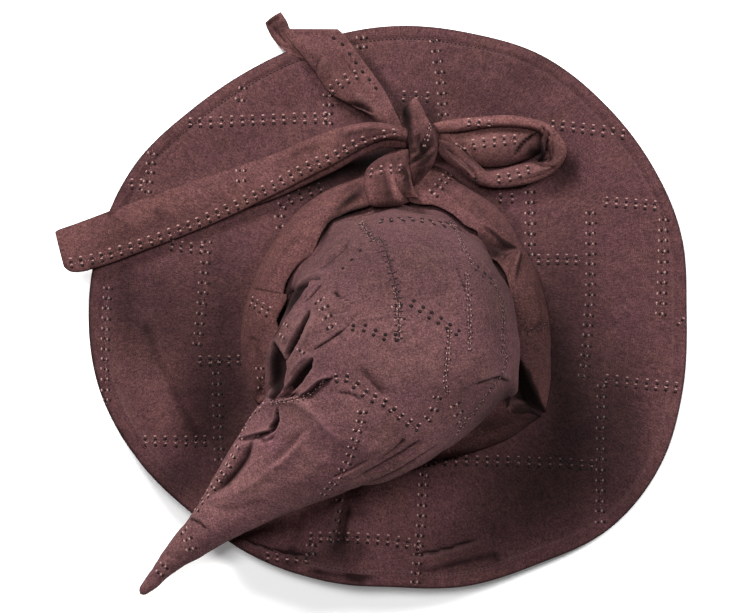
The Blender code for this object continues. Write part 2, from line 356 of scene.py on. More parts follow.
def blend_colour(tree, place, kind, amount, first, second):
    """A colour mix: amount, first and second are sockets or plain values."""
    mix = tree.nodes.new("ShaderNodeMix")
    mix.data_type = "RGBA"
    mix.blend_type = kind
    mix.location = (place * 220 - 1600, 300)
    for socket, value in zip((mix.inputs[0], mix.inputs[6], mix.inputs[7]),
                             (amount, first, second)):
        if isinstance(value, bpy.types.NodeSocket):
            tree.links.new(value, socket)
        else:
            socket.default_value = value
    return mix.outputs[2]


def stretch(tree, place, value, low, high, to_low=0.0, to_high=1.0):
    """Maps a socket's values from low..high to to_low..to_high, held at the ends."""
    ranged = add(tree, "ShaderNodeMapRange", place)
    for key, number in (("From Min", low), ("From Max", high),
                        ("To Min", to_low), ("To Max", to_high)):
        ranged.inputs[key].default_value = number
    tree.links.new(value, ranged.inputs["Value"])
    return ranged.outputs["Result"]


def attribute(tree, label):
    """The values that a mesh carries under a label."""
    layer = tree.nodes.new("ShaderNodeAttribute")
    layer.attribute_name = label
    return layer.outputs["Fac"]


def with_painted_shading(tree, place, colour):
    """The colour times 1 less the painted shading: painted light makes it half as bright again at
    -0.5, painted shade makes it black at 1.
    """
    kept = stretch(tree, place, attribute(tree, "painted_shading"), -0.5, 1.0, 1.5, 0.0)
    return blend_colour(tree, place + 1, "MULTIPLY", 1.0, colour, kept)


# Noise in the cloth: scale for each metre, detail, roughness.
CLOUD_NOISE = (26.0, 4.0, 0.6)
BLOT_NOISE = (150.0, 3.0, 0.6)
NAP_NOISE = (620.0, 4.0, 0.75)
GRAIN_NOISE = (1250.0, 2.0, 0.6)
WAVE_NOISE = (95.0, 5.0, 0.62)


def suede(name, purple, brown, dark, pale):
    """Suede cloth: two soft colours in clouds, fine mottling, painted shade in hollows, pale worn
    ridges, and charted painted light and shade.
    """
    paint = bpy.data.materials.new(name)
    paint.use_nodes = True
    tree = paint.node_tree
    shader = tree.nodes["Principled BSDF"]
    spot = add(tree, "ShaderNodeTexCoord", 0).outputs["Object"]

    def cloud(place, scale, detail, rough):
        made = add(tree, "ShaderNodeTexNoise", place, Scale=scale, Detail=detail,
                   Roughness=rough)
        tree.links.new(spot, made.inputs["Vector"])
        return made.outputs["Fac"]

    clouds = stretch(tree, 2, cloud(1, *CLOUD_NOISE), 0.34, 0.66)
    blots = stretch(tree, 2, cloud(1, *BLOT_NOISE), 0.35, 0.65)
    nap = stretch(tree, 2, cloud(1, *NAP_NOISE), 0.3, 0.7)
    grain = cloud(1, *GRAIN_NOISE)
    colour = blend_colour(tree, 3, "MIX", clouds, (*purple, 1), (*brown, 1))
    shade = blend_colour(tree, 4, "MIX", blots, (0.86, 0.84, 0.86, 1), (1.12, 1.1, 1.08, 1))
    colour = blend_colour(tree, 5, "MULTIPLY", 1.0, colour, shade)
    fine = blend_colour(tree, 5, "MIX", nap, (0.46, 0.44, 0.46, 1), (1.56, 1.58, 1.56, 1))
    colour = blend_colour(tree, 6, "MULTIPLY", 1.0, colour, fine)
    speckle = stretch(tree, 5, grain, 0.32, 0.68, 0.55, 1.48)
    colour = blend_colour(tree, 6, "MULTIPLY", 1.0, colour, speckle)
    # Painted shade goes into the hollows and pale wear onto the ridges.
    for label, tone, most in (("hollow_shade", dark, 0.95), ("worn", pale, 0.30)):
        amount = stretch(tree, 7, attribute(tree, label), 0.05, 0.60, 0.0, most)
        colour = blend_colour(tree, 8, "MIX", amount, colour, (*tone, 1))
    # Then the charted painted light and shade darken and lighten the colour.
    tree.links.new(with_painted_shading(tree, 9, colour), shader.inputs["Base Color"])
    tree.links.new(stretch(tree, 8, nap, 0.0, 1.0, 0.97, 0.86), shader.inputs["Roughness"])
    shader.inputs["Specular IOR Level"].default_value = 0.08
    shader.inputs["Sheen Weight"].default_value = 0.01
    shader.inputs["Sheen Roughness"].default_value = 0.45
    shader.inputs["Sheen Tint"].default_value = (0.78, 0.55, 0.56, 1)

    soft = add(tree, "ShaderNodeBump", 7, Strength=0.5, Distance=0.0011)
    tree.links.new(cloud(6, *WAVE_NOISE), soft.inputs["Height"])
    rough = add(tree, "ShaderNodeBump", 8, Strength=0.55, Distance=0.0004)
    tree.links.new(grain, rough.inputs["Height"])
    tree.links.new(soft.outputs["Normal"], rough.inputs["Normal"])
    tree.links.new(rough.outputs["Normal"], shader.inputs["Normal"])
    print("material", name, "with", len(tree.nodes), "nodes")
    return paint


# Purple, warm brown, the painted shade of hollows and the pale of worn ridges.
BRIM_SUEDE = suede("brim_suede", (0.060, 0.0255, 0.0285), (0.063, 0.0274, 0.0272),
                   (0.011, 0.004, 0.0045), (0.120, 0.064, 0.064))
CROWN_SUEDE = suede("crown_suede", (0.080, 0.0360, 0.0402), (0.086, 0.0405, 0.0400),
                    (0.011, 0.004, 0.0045), (0.145, 0.076, 0.078))
SASH_SUEDE = suede("sash_suede", (0.069, 0.0295, 0.0305), (0.075, 0.0326, 0.0300),
                   (0.011, 0.004, 0.004), (0.130, 0.070, 0.063))

# %% [markdown]
# ## The brim
# The brim is two layers of cloth sewn together, with a turned hem. It lies flat near the
# crown and curls up towards its wavy edge, most of all on the left. A ring-shaped grid carries
# it: one direction goes round, the other goes out over the top face, round the hem and back
# under. Its height is a function of the place, so the ribbons can be laid on it later.

# %% Brim tables
# Angle in degrees, radius, height of the edge, extra curl of the last stretch.
BRIM_EDGE = (
    (0, 217, 4, 0), (15, 220, 8, 0), (30, 219, 12, 0), (45, 218, 14, 0),
    (60, 218, 13, 0), (75, 213, 10, 0), (90, 211, 8, 0), (105, 208, 8, 1),
    (120, 207, 9, 2), (135, 210, 10, 3), (150, 218, 13, 4), (165, 221, 16, 6),
    (180, 222, 19, 8), (195, 221, 20, 9), (210, 215, 19, 8), (225, 208, 17, 5),
    (240, 206, 15, 4), (255, 203, 15, 6), (270, 201, 14, 8), (285, 208, 11, 6),
    (300, 214, 8, 3), (315, 226, 5, 1), (330, 228, 3, 0), (345, 222, 2, 0),
)
BRIM_FLAT_TO = 120.0
BRIM_RISE_POWER = 1.3
BRIM_CURL = 24.0
# Two ends x y x y in millimetres, height, half width.
BRIM_SWELLS = (
    (-180, -13, -150, -80, 4, 16),
    (-24, -150, -26, -188, 5, 11),
    (-62, -140, -74, -176, 4, 10),
    (22, -188, 74, -180, 4, 8),
    (120, -150, 150, -120, 3, 20),
    (60, 170, 120, 150, 3, 22),
    (-120, 140, -80, 175, 3, 18),
)
# Charted folds: line, height left and right of it as walked, width left and right.
BRIM_FOLDS = (
    (((140, 310), (160, 360), (192, 425), (205, 445)), 1.6, 1.6, 12, 14),
    (((112, 380), (135, 425), (175, 480)), -1.4, -1.4, 12, 14),
    (((345, 492), (340, 510), (336, 530), (331, 552)), -3.4, -4.6, 5, 9),
    (((352, 500), (346, 525), (343, 548)), 1.6, 1.6, 4, 7),
    (((238, 537), (254, 544), (272, 550), (292, 555), (314, 556)), 1.6, -3.8, 9, 4),
    (((300, 566), (340, 572), (385, 574)), -1.4, 1.2, 7, 6),
    (((402, 556), (430, 553), (458, 546), (486, 537)), 1.2, -2.6, 9, 6),
    (((420, 572), (460, 562), (505, 548)), 1.2, 1.2, 6, 6),
    (((470, 520), (520, 502), (560, 478)), 1.8, 1.8, 16, 20),
    (((540, 500), (575, 470), (590, 430)), -1.6, -1.6, 16, 16),
    (((360, 525), (395, 512), (425, 505)), 1.4, 1.4, 14, 14),
    (((500, 562), (545, 545), (590, 515)), -1.3, -1.3, 14, 12),
    (((590, 400), (610, 450), (600, 500)), 1.2, 1.2, 18, 20),
    (((560, 100), (600, 135), (625, 165)), -0.9, -0.9, 14, 20),
    (((440, 60), (470, 85), (500, 110)), 1.0, 1.0, 16, 16),
    (((160, 150), (195, 128), (240, 108)), 0.9, 0.9, 14, 14),
    (((150, 190), (190, 175), (230, 140)), -0.8, -0.8, 14, 14),
    (((258, 268), (248, 290), (238, 320)), -2.2, -2.2, 8, 8),
    (((232, 300), (226, 340), (222, 390)), 1.0, 1.0, 12, 14),
    (((200, 380), (205, 430), (225, 480)), -1.6, -1.6, 14, 14),
    (((620, 250), (640, 300), (636, 350)), 0.8, 0.8, 20, 22),
    (((560, 215), (575, 260), (578, 300)), -0.7, -0.7, 16, 18),
    (((470, 70), (540, 90), (585, 122)), -0.7, -0.7, 12, 16),
    (((382, 590), (372, 560), (362, 535)), 0.9, 0.9, 9, 9),
)
# Painted light and shade: charted x y, reach along and across, turn in degrees, strength; below
# zero paints light.
BRIM_PAINTED_SHADING = (
    (220, 408, 42, 82, 0, 0.72),
    (224, 292, 30, 60, 0, 0.42),
    (152, 310, 52, 48, 0, 0.50),
    (124, 296, 13, 42, 0, 0.38),
    (160, 408, 14, 34, 0, -0.30),
    (130, 355, 30, 60, 0, 0.10),
    (178, 478, 28, 22, 0, 0.48),
    (575, 430, 55, 100, 0, 0.79),
    (560, 362, 18, 54, -8, 0.46),
    (520, 490, 60, 58, 0, 0.68),
    (626, 445, 28, 88, 0, 0.52),
    (562, 305, 42, 72, 0, 0.50),
    (640, 300, 40, 80, 0, 0.06),
    (490, 78, 75, 40, 15, 0.24),
    (326, 562, 32, 20, 0, 0.38),
    (337, 536, 10, 24, 12, 0.50),
    (341, 547, 15, 12, 0, 0.50),
    (307, 555, 16, 6, 10, 0.45),
    (478, 545, 52, 32, 0, 0.45),
    (535, 72, 28, 18, 0, 0.25),
    # painted shadow under the long tail's lower edge and beside the short tail's right edge
    (372, 161, 40, 12, -24, 0.97),
    (322, 180, 36, 8, -25, 0.85),
    (377, 75, 48, 5.5, 53, 0.60),
    (418, 112, 26, 9, 60, 0.50),
    (508, 222, 36, 11, 52, 0.35),
    (400, 116, 12, 16, 0, 0.60),
    (434, 117, 9, 20, -20, 0.55),
    (566, 171, 20, 12, -50, 0.62),
    (450, 152, 26, 7, 45, 0.40),
)
HEM_WIDTH = 9.6
HEM_EXTRA = 0.9
GROOVE_DEEP, GROOVE_WIDE = 0.9, 1.3
BRIM_UNEVEN = ((drift, 1.1, 41.0, 3), (drift, 0.35, 15.0, 4),
               (crumples, 0.5, 27.0, 5), (crumples, 0.22, 11.0, 6))

# %% [markdown]
# ## The brim's shape
# The under face is worked out first, the top face lies a wall above it, and the hem is a half
# circle between the two. The same height function later tells the ribbons where to lie.


# %% The brim's height and mesh
def brim_edge(x, y):
    """Radius, height and curl of the edge in the direction of each place."""
    angles = np.degrees(np.arctan2(y, x)).ravel()
    return np.moveaxis(at_angle(BRIM_EDGE, angles).reshape(np.shape(x) + (3,)), -1, 0)


def brim_under(x, y):
    """Under face: zero as far as the flat ring, then a gentle step to a power up to the edge,
    with the curl added over its last stretch and the swells added as bells."""
    radius = np.hypot(x, y)
    reach, rise, curl = brim_edge(x, y)
    out = smooth((radius - BRIM_FLAT_TO) / (reach - BRIM_FLAT_TO)) ** BRIM_RISE_POWER
    height = rise * out + curl * smooth((radius - reach + BRIM_CURL) / BRIM_CURL) ** 2
    for x0, y0, x1, y1, swell, half in BRIM_SWELLS:
        length = np.hypot(x1 - x0, y1 - y0)
        ux, uy = (x1 - x0) / length, (y1 - y0) / length
        share = ((x - x0) * ux + (y - y0) * uy) / length
        off = -(x - x0) * uy + (y - y0) * ux
        past = np.maximum(0, np.abs(share - 0.5) - 0.5) * length
        height = height + swell * np.exp(-(off ** 2 + past ** 2) / half ** 2)
    places = np.stack([x, y, height], -1)
    height = uneven(height + fold_height(to_chart(places), BRIM_FOLDS), places, BRIM_UNEVEN)
    return np.where(radius <= BRIM_FLAT_TO, 0.0,
                    np.maximum(height, 0.0) * smooth((radius - BRIM_FLAT_TO) / 20))


def brim_bed(x, y):
    """A smooth bed over the brim that the sash's free ends lie on."""
    return brim_under(x, y) + BRIM_WALL + HEM_EXTRA


def brim_top(x, y):
    """Top face: the under face and the wall, with the thicker hem and its sewn groove."""
    inset = brim_edge(x, y)[0] - np.hypot(x, y)
    hem = HEM_EXTRA * smooth((HEM_WIDTH - inset) / 2.0 + 0.5)
    groove = GROOVE_DEEP * np.exp(-((inset - HEM_WIDTH) / GROOVE_WIDE) ** 2)
    return brim_under(x, y) + BRIM_WALL + hem - groove


def make_brim():
    """Rows run out over the top, round the hem in a half circle, and back underneath."""
    around, top_rows, low_rows, rim_rows = 540, 62, 24, 8
    inset, denser = 1.6, 1.15
    angles = np.radians(np.arange(around) * (360 / around))
    reach = at_angle(BRIM_EDGE, np.degrees(angles))[:, 0]
    inner = HEAD_RADIUS - SEWN_LAP
    outward = 1 - (1 - np.linspace(0, 1, top_rows)) ** denser
    top_r = inner + outward[:, None] * (reach - inset - inner)
    low_r = inner + np.linspace(1, 0, low_rows)[:, None] * (reach - inset - inner)
    cos, sin = np.cos(angles), np.sin(angles)
    top = np.stack([top_r * cos, top_r * sin, brim_top(top_r * cos, top_r * sin)], -1)
    low = np.stack([low_r * cos, low_r * sin, brim_under(low_r * cos, low_r * sin)], -1)
    swing = np.linspace(np.pi / 2, -np.pi / 2, rim_rows)[1:-1, None]
    middle, half = (top[-1, :, 2] + low[0, :, 2]) / 2, (top[-1, :, 2] - low[0, :, 2]) / 2
    rim_r = reach - inset + inset * np.cos(swing)
    rim_z = middle + half * np.sin(swing)
    rim = np.stack([rim_r * cos, rim_r * sin, rim_z], -1)
    points = np.concatenate([top, rim, low])
    hollow_shade, worn = hollow_shade_and_wear(points, True, 1)
    return make_piece("brim_cloth", points.reshape(-1, 3),
                      grid_faces(*points.shape[:2], closed_u=True, closed_v=True), [],
                      BRIM_SUEDE, hollow_shade, worn, painted_light_and_shade(points, BRIM_PAINTED_SHADING))


brim_cloth = make_brim()

# %% [markdown]
# ## The crown
# The crown is one long soft cone. Sections carry it from the head opening up over the bend
# and down to the point, and each section lies in a tilted plane, because the inside of the
# bend is short and the outside is long. Gathers come from the tied sash, pleats from the
# crushed inside of the bend, and the folds that show from above are pressed in along charted
# lines. A second grid inside makes the wall.

# %% Crown tables
DROOP = np.radians(227.7)
ALONG = np.array([np.cos(DROOP), np.sin(DROOP), 0.0])
ACROSS = np.array([-np.sin(DROOP), np.cos(DROOP), 0.0])
CROWN_SECTIONS = (
    # back s, back z, front s, front z, left, right
    (-92, 2.7, 92, 2.7, -92, 92),
    (-91.5, 9, 91.5, 9, -91.5, 91.5),
    (-78, 33, 84, 31, -75, 85),
    (-77, 60, 94, 44, -75, 94),
    (-68, 94, 102, 53, -69, 98),
    (-47, 117, 107, 58, -63, 94),
    (-12, 130, 112, 58, -56, 89),
    (27, 133, 118, 54, -50, 82),
    (66, 124, 127, 49, -31, 68),
    (105, 105, 140, 43, -27, 57),
    (150, 83, 160, 37, -20, 41),
    (196, 63, 197, 33, -10, 25),
    (240, 48, 239, 32, -7, 12),
    (263, 43, 262, 33, -4, 8),
    (270.5, 41, 270, 34.5, -2.5, 6.0),
    (273.2, 39.7, 273, 35.8, -0.6, 4.1),
)
CROWN_TIP = (274.4, 1.75, 37.7)
# Gathers that the tied sash makes: how many, how deep, their section, spread in sections.
GATHERS = (13, 1.6, 2.2, 0.9)
# Pleats inside the bend: sections for each, depth, first section, last section.
UNDER_PLEATS = (1.9, 4.0, 3.0, 8.5)
# Charted folds: line, height left and right of it as walked, width left and right.
CROWN_FOLDS = (
    # the lip over the dark hollow beside the sash
    (((328, 272), (313, 276), (300, 283), (288, 291)), 0.0, 2.0, 3, 5),
    (((327, 275), (316, 288), (308, 297), (298, 308)), -1.4, 1.0, 3, 3),
    (((352, 234), (345, 247), (335, 255), (322, 265), (305, 276)), -1.2, -2.2, 6, 3.5),
    # the panels between the slits
    (((316, 312), (309, 328), (302, 346)), 1.6, 1.6, 5, 2.5),
    (((300, 308), (292, 326), (284, 345)), 1.4, 1.4, 3, 4),
    (((313, 352), (300, 362), (290, 376)), 1.8, 1.8, 2.5, 4),
    (((312, 350), (326, 341), (346, 328)), 0.6, -1.4, 4, 4),
    # the lower cone's upper edge laps over them
    (((256, 407), (269, 400), (285, 398), (302, 395)), -6.0, 2.2, 3, 8),
    (((296, 398), (308, 391), (320, 381), (335, 377)), 2.2, -4.5, 5, 8),
    (((330, 378), (347, 379), (366, 393), (388, 411)), -0.8, -0.8, 5, 5),
    (((334, 391), (352, 393), (367, 402)), 0.5, -1.0, 4, 4),
    (((356, 369), (367, 378), (376, 388), (386, 400)), -2.4, -1.6, 6, 6),
    (((283, 401), (301, 403), (316, 415), (331, 431), (347, 447)), 1.2, 1.9, 4, 8),
    # the flap and the valley along the cone's left edge
    (((273, 430), (256, 434), (236, 439)), -5.5, 1.8, 3, 6),
    (((253, 436), (246, 449), (240, 462), (230, 476), (218, 488), (204, 499)), -5.5, -5.0, 5, 3),
    (((244, 440), (234, 458), (224, 472), (208, 492)), 1.4, 1.4, 2.5, 3),
    (((252, 436), (264, 441), (275, 435)), -1.8, -2.2, 3, 3),
    (((304, 430), (292, 445), (282, 456), (265, 469)), -2.4, -2.4, 3, 6),
    (((319, 423), (301, 442), (280, 461), (262, 476), (240, 491), (213, 498)), 1.4, 1.2, 6, 6),
    (((335, 452), (310, 474), (280, 495)), 1.0, 1.0, 9, 9),
    # near the point
    (((187, 517), (195, 519), (203, 524), (209, 531)), 1.1, -1.8, 6, 3),
    (((160, 548), (172, 556), (184, 562)), -0.9, -0.9, 4, 4),
    (((205, 505), (235, 510), (262, 500)), -0.9, -0.9, 6, 7),
    # wrinkles that fan out at the lower right
    (((424, 439), (408, 451), (380, 468), (344, 486)), -2.6, -3.0, 3, 2.4),
    (((407, 437), (395, 450), (372, 466)), -2.4, -1.6, 3, 2.4),
    (((440, 444), (421, 455), (394, 471), (358, 487)), -2.4, 1.2, 2.6, 3),
    (((330, 480), (350, 472), (375, 458)), -1.6, 0.8, 2.6, 3),
    (((392, 430), (380, 445), (360, 458)), 0.9, 0.9, 4, 5),
    # fine creases on the top
    (((399, 311), (376, 316), (352, 320)), 1.0, 0.3, 2.6, 3),
    (((362, 306), (353, 317), (344, 328), (325, 339)), -1.1, 0.3, 3, 3),
    (((328, 289), (337, 296), (347, 301), (358, 306)), -1.1, 0.4, 3, 3),
    (((334, 288), (336, 296), (339, 304)), -1.0, -0.6, 2.6, 3),
    (((316, 309), (335, 314), (354, 310)), -1.0, 0.4, 3, 3),
    (((402, 235), (425, 246), (452, 260)), -0.9, 0.3, 2.6, 4),
    (((452, 258), (462, 284), (470, 306)), -1.2, 0.4, 4, 4),
    (((362, 221), (372, 239), (383, 241), (392, 272), (398, 300), (400, 342)), -0.8, -0.8, 4, 4),
    (((450, 329), (448, 355), (443, 392)), -0.9, -0.9, 4, 5),
    (((452, 219), (474, 265), (495, 283), (505, 308), (503, 350), (507, 363)), -0.6, -0.6, 4, 4),
    (((505, 360), (487, 395), (454, 436)), -0.6, -0.6, 4, 4),
    (((478, 340), (490, 365), (484, 388)), 1.2, 1.2, 7, 8),
    (((422, 360), (432, 372), (442, 390)), 0.9, 0.9, 4, 5),
    (((470, 385), (498, 376), (520, 388)), 1.4, -1.0, 6, 7),
    (((365, 335), (395, 350), (430, 352)), -0.8, -0.8, 8, 9),
    # the lip under the knot
    (((329, 223), (345, 222), (360, 222)), 0.0, 1.6, 2, 4),
)
# Charted hollows: outline, depth, width of the sloping rim. Their depth is also painted into the
# colour as shade.
CROWN_PITS = (
    # beside the sash
    (((318, 278), (303, 286), (298, 296), (291, 304), (284, 315), (277, 328), (271, 336),
      (272, 318), (277, 304), (284, 292), (296, 284)), 9, 4),
    (((271, 343), (277, 349), (284, 361), (285, 369), (282, 380), (280, 396), (270, 398),
      (262, 396), (266, 380), (268, 362)), 9, 4),
    # two slits where the bend is crushed
    (((309, 311), (303, 320), (297, 331), (291, 343), (286, 353), (286, 360), (292, 351),
      (298, 340), (303, 330), (308, 319)), 13, 3.0),
    (((313, 359), (304, 367), (297, 374), (290, 383), (283, 391), (278, 399), (286, 395),
      (294, 389), (301, 382), (306, 375), (311, 368)), 13, 3.0),
    # under the flap
    (((277, 409), (274, 419), (269, 427), (269, 433), (274, 430), (278, 420)), 8, 3),
)
# Painted light and shade, as on the brim.
CROWN_PAINTED_SHADING = (
    (347, 213, 20, 4.5, -26, 0.85),
    (326, 231, 13, 3, -65, 0.80),
    (276, 371, 28, 7, 82, 0.72),
    (289, 303, 24, 6, -52, 0.72),
    (277, 328, 12, 5, -62, 0.60),
    (508, 392, 16, 7, -35, 0.35),
    (400, 258, 105, 55, 0, 0.43),
    (500, 300, 30, 62, 0, 0.42),
    (325, 310, 26, 26, 0, 0.10),
    (385, 445, 90, 42, 0, -0.42),
    (285, 470, 78, 50, -30, -0.58),
    (250, 497, 44, 24, -42, -0.68),
    (478, 400, 40, 30, 0, 0.24),
    (170, 565, 30, 16, -50, -0.12),
    (497, 408, 26, 8, -42, 0.40),
)
# Places where the cloth is drawn out: x y z, then the move x y z, then the radius, all in mm.
CROWN_PULLS = (
    (80, -50, 50, 15.5, -12.0, -2.0, 13),
    (72, -70, 38, -6.0, 6.0, 0.0, 9),
    (88, -22, 48, 3.5, 0.0, 0.0, 24),
    (-93, -38, 48, 24.0, -6.0, -6.0, 20),
    (-80, 6, 54, 15.0, -6.0, -4.0, 16),
    (-64, 42, 50, 7.0, -5.0, 0.0, 18),
    (-44, 66, 50, -3.0, 3.0, 0.0, 8),
)
CROWN_UNEVEN = ((drift, 1.5, 31.0, 11),)
CROWN_FINE = ((crumples, 0.8, 23.0, 12), (crumples, 0.4, 10.0, 13), (drift, 0.2, 5.0, 14))
SHADE_DEPTH, SHADE_MOST = 8, 0.85    # pressed-in depth for a full shade, and the deepest shade
PIT_ROOM = 5                         # millimetres that the inner wall gives way behind a pit
INNER_SHORT = 1.6                    # sections by which the inner wall ends before the point
INNER_TIP = 4

# %% [markdown]
# ## The crown's shape
# The plain cone with its gathers comes first. Folds and pits are then pressed in where the
# cloth faces the eye above, and pulls come last. How deep the cloth is pressed in is kept, to
# paint shade into the hollows and to make room for them inside.


# %% The crown's surface
def crown_base(places, turns):
    """Ellipses through the sections: the middle of back and front plus half their difference
    times the cosine, and side to side with the sine."""
    rows = through(CROWN_SECTIONS, places)
    back_s, back_z, front_s, front_z, left, right = (rows[:, k, None] for k in range(6))
    angle = -2 * np.pi * turns[None, :]
    swing, side = np.cos(angle), np.sin(angle)
    along = (back_s + front_s) / 2 + (back_s - front_s) / 2 * swing
    height = (back_z + front_z) / 2 + (back_z - front_z) / 2 * swing
    across = (left + right) / 2 + (right - left) / 2 * side
    points = along[..., None] * ALONG + across[..., None] * ACROSS
    points[..., 2] = height
    outward = normals(points, closed_u=True)
    row = places[:, None]
    count, deep, middle, spread = GATHERS
    tied = np.exp(-((row - middle) / spread) ** 2) * smooth(row)
    push = deep * tied * np.sin(count * angle + np.sin(2 * angle))
    pitch, deep, first, final = UNDER_PLEATS
    inside = smooth(-swing) * smooth(row - first + 0.5) * smooth((final - row) / 2)
    push = push + deep * inside * np.sin(2 * np.pi * (row - first) / pitch)
    return points + outward * push[..., None], outward


def crown_surface(places, turns, detail):
    """The base, with folds, pits and slow drift along its normals and pulls as bells of
    movement; also how deep it is pressed in, as painted shade from 0 to the deepest shade."""
    points, outward = crown_base(places, turns)
    facing = smooth(outward[..., 2] / 0.35 + 0.15)
    free = smooth((places[:, None] - 1.2) / 0.8)
    seen = to_chart(points)
    upward = smooth((outward[..., 2] - 0.25) / 0.3)
    pressed_in = pits(seen, CROWN_PITS)
    push = fold_height(seen, CROWN_FOLDS) * facing
    sloped = smooth((outward[..., 2] - 0.1) / 0.45)
    # Painted shade of the folds and pits that press the cloth in.
    pit_shade = np.clip(-(push + pressed_in * sloped) / SHADE_DEPTH, 0, SHADE_MOST)
    push = uneven(push + pressed_in * upward, points, CROWN_UNEVEN)
    push = push + detail * uneven(0.0, points, CROWN_FINE)
    return pulled(points + outward * (push * free)[..., None], CROWN_PULLS), pit_shade


def crown_places(rows, last):
    """Section numbers for grid rows that are evenly far apart along the back of the cone."""
    fine = np.linspace(0, last, 400)
    line = crown_base(fine, np.array([0.0, 0.25, 0.5]))[0]
    step = np.linalg.norm(np.diff(line, axis=0), axis=2).max(axis=1)
    length = np.concatenate([[0], np.cumsum(step)])
    return np.interp(np.linspace(0, length[-1], rows), length, fine)


def make_crown():
    """An outer grid and an inner one, joined at the foot and each closed at the point. Columns
    are denser on the side that shows from above."""
    last = len(CROWN_SECTIONS) - 1
    around, rows, inner_rows = 300, 292, 28
    even = np.arange(around) / around
    turns = even - 0.45 * np.sin(2 * np.pi * even) / (2 * np.pi)
    outer, pit_shade = crown_surface(crown_places(rows, last), turns, 1.0)
    outer[0, :, 2] = BRIM_WALL + GAP
    smoothed, sunk = crown_surface(crown_places(inner_rows, last - INNER_SHORT), turns, 0.0)
    inner = smoothed - normals(smoothed, True) * (CROWN_WALL + PIT_ROOM * sunk[..., None])
    inner[0, :, 2] = BRIM_WALL + GAP
    along, across, height = CROWN_TIP
    tip = along * ALONG + across * ACROSS + (0, 0, height)
    inner_tip = inner[-1].mean(0) + ALONG * INNER_TIP
    points = np.concatenate([outer.reshape(-1, 3), inner.reshape(-1, 3), [tip, inner_tip]])
    base = outer.shape[0] * around
    ring = np.arange(around)
    foot = np.stack([ring, base + ring, base + (ring + 1) % around, (ring + 1) % around], -1)
    quads = np.concatenate([grid_faces(rows, around, closed_u=True),
                            base + grid_faces(inner_rows, around, closed_u=True)[:, ::-1], foot])
    tips = np.concatenate([
        cap_faces(base - around + ring, len(points) - 2, False),
        cap_faces(base + (inner_rows - 1) * around + ring, len(points) - 1, True)])
    hollow_shade, worn = hollow_shade_and_wear(outer, True, 1)
    # The pits' painted shade deepens the hollows' painted shade.
    hollow_shade = np.maximum(hollow_shade, pit_shade)
    return make_piece("crown_cloth", points, quads, tips, CROWN_SUEDE, hollow_shade, worn,
                      painted_light_and_shade(outer, CROWN_PAINTED_SHADING))


crown_cloth = make_crown()

# %% [markdown]
# ## The sash round the crown
# The sash is a strip folded double. It lies against the tied waist of the crown with its
# upper edge and splays out onto the brim with its lower one, and it is pinched to a corner on
# each side below the bend. A closed tube, flat in section, is carried round: its foot comes
# from a table and its upper edge from the crown itself.

# %% Sash tables and mesh
# Angle in degrees and radius of the lower edge.
SASH_FOOT = (
    (0, 114), (15, 110), (30, 107.5), (45, 108), (60, 108.5), (75, 113),
    (90, 110), (105, 104), (120, 102), (135, 101.7), (150, 102), (165, 105),
    (180, 110), (195, 116), (210, 119.5), (225, 112), (240, 107), (255, 107),
    (270, 109), (285, 112), (300, 119), (315, 127.5), (330, 130), (345, 120),
)
# Painted light and shade on the sash, as on the brim.
SASH_PAINTED_SHADING = (
    (350, 199, 20, 4.5, -38, 0.85),
    (350, 213, 22, 5, -22, 0.95),
    (326, 231, 14, 4, -65, 0.90),
    (530, 330, 26, 90, 0, 0.48),
    (520, 425, 50, 16, 0, 0.50),
    (250, 350, 14, 50, 0, 0.18),
    (380, 214, 50, 7, -8, 0.55),
    (492, 222, 30, 7, 45, 0.35),
    (496, 250, 16, 8, 40, 0.55),
    (527, 393, 26, 8, 66, 0.80),
)
SASH_LOW, SASH_HIGH = 4.4, 31.0      # heights of the lower and upper edge
SASH_CLEAR = 2.9                     # from the crown to the middle of the band
SASH_BULGE = 4.0
SASH_THICK = 3.6
WAIST_BAND = 5                       # millimetres above and below where the waist is measured
WAIST_TURN = 3                       # degrees to either side that count
SASH_UNEVEN = ((drift, 0.9, 24.0, 21), (drift, 0.4, 10.0, 22))
DENT_SHADE = 9                       # depth of a dent for a full shade
ROUND_EDGE = 0.6                     # power that rounds a tube's edges; 1 makes an ellipse
SASH_FOLDS = (
    (((336, 208), (350, 196), (366, 187)), -3.2, -2.0, 3, 4),
    (((334, 218), (350, 207), (367, 201)), -3.2, -2.0, 3, 4),
    (((300, 232), (283, 255), (272, 285)), 1.3, 1.3, 5, 5),
    (((255, 336), (254, 346), (255, 360)), -2.2, -1.4, 3, 3),
    (((246, 300), (262, 305), (276, 312)), -1.0, -1.0, 4, 4),
    (((270, 372), (266, 385), (261, 400)), -4.5, -4.5, 4, 4),
    (((470, 222), (487, 232), (500, 244), (508, 249), (518, 249)), 0.8, -1.2, 5, 7),
    (((519, 250), (516, 264), (514, 285)), 1.0, -1.0, 4, 4),
    (((512, 258), (512, 290), (518, 330)), -2.2, -2.2, 5, 4),
    (((528, 262), (536, 300), (538, 340)), 1.0, 1.0, 5, 5),
    (((521, 335), (534, 329), (549, 322)), -1.4, -0.6, 3, 4),
    (((430, 186), (455, 200), (480, 222)), 1.2, 1.2, 6, 6),
    (((452, 176), (470, 186), (492, 207)), -0.9, -0.9, 4, 5),
    (((528, 416), (508, 424), (480, 438)), -1.2, -1.2, 4, 5),
)
SASH_PITS = (
    (((480, 231), (488, 236), (496, 243), (504, 247), (511, 250), (504, 254), (499, 260),
      (493, 256), (487, 247), (482, 238)), 4.5, 5),
    (((517, 360), (523, 374), (530, 389), (539, 411), (530, 407), (519, 407), (509, 409),
      (514, 392)), 9, 5),
)
SASH_PULLS = (
    (-82, 0, 31, -6.0, 0.0, 0.0, 15),
    (-66, 46, 31, 6.0, -4.0, 0.0, 14),
    (108, -72, 6, 4.0, -3.0, 0.0, 8),
    (-99, -66, 8, -2.5, -2.0, 0.0, 8),
)


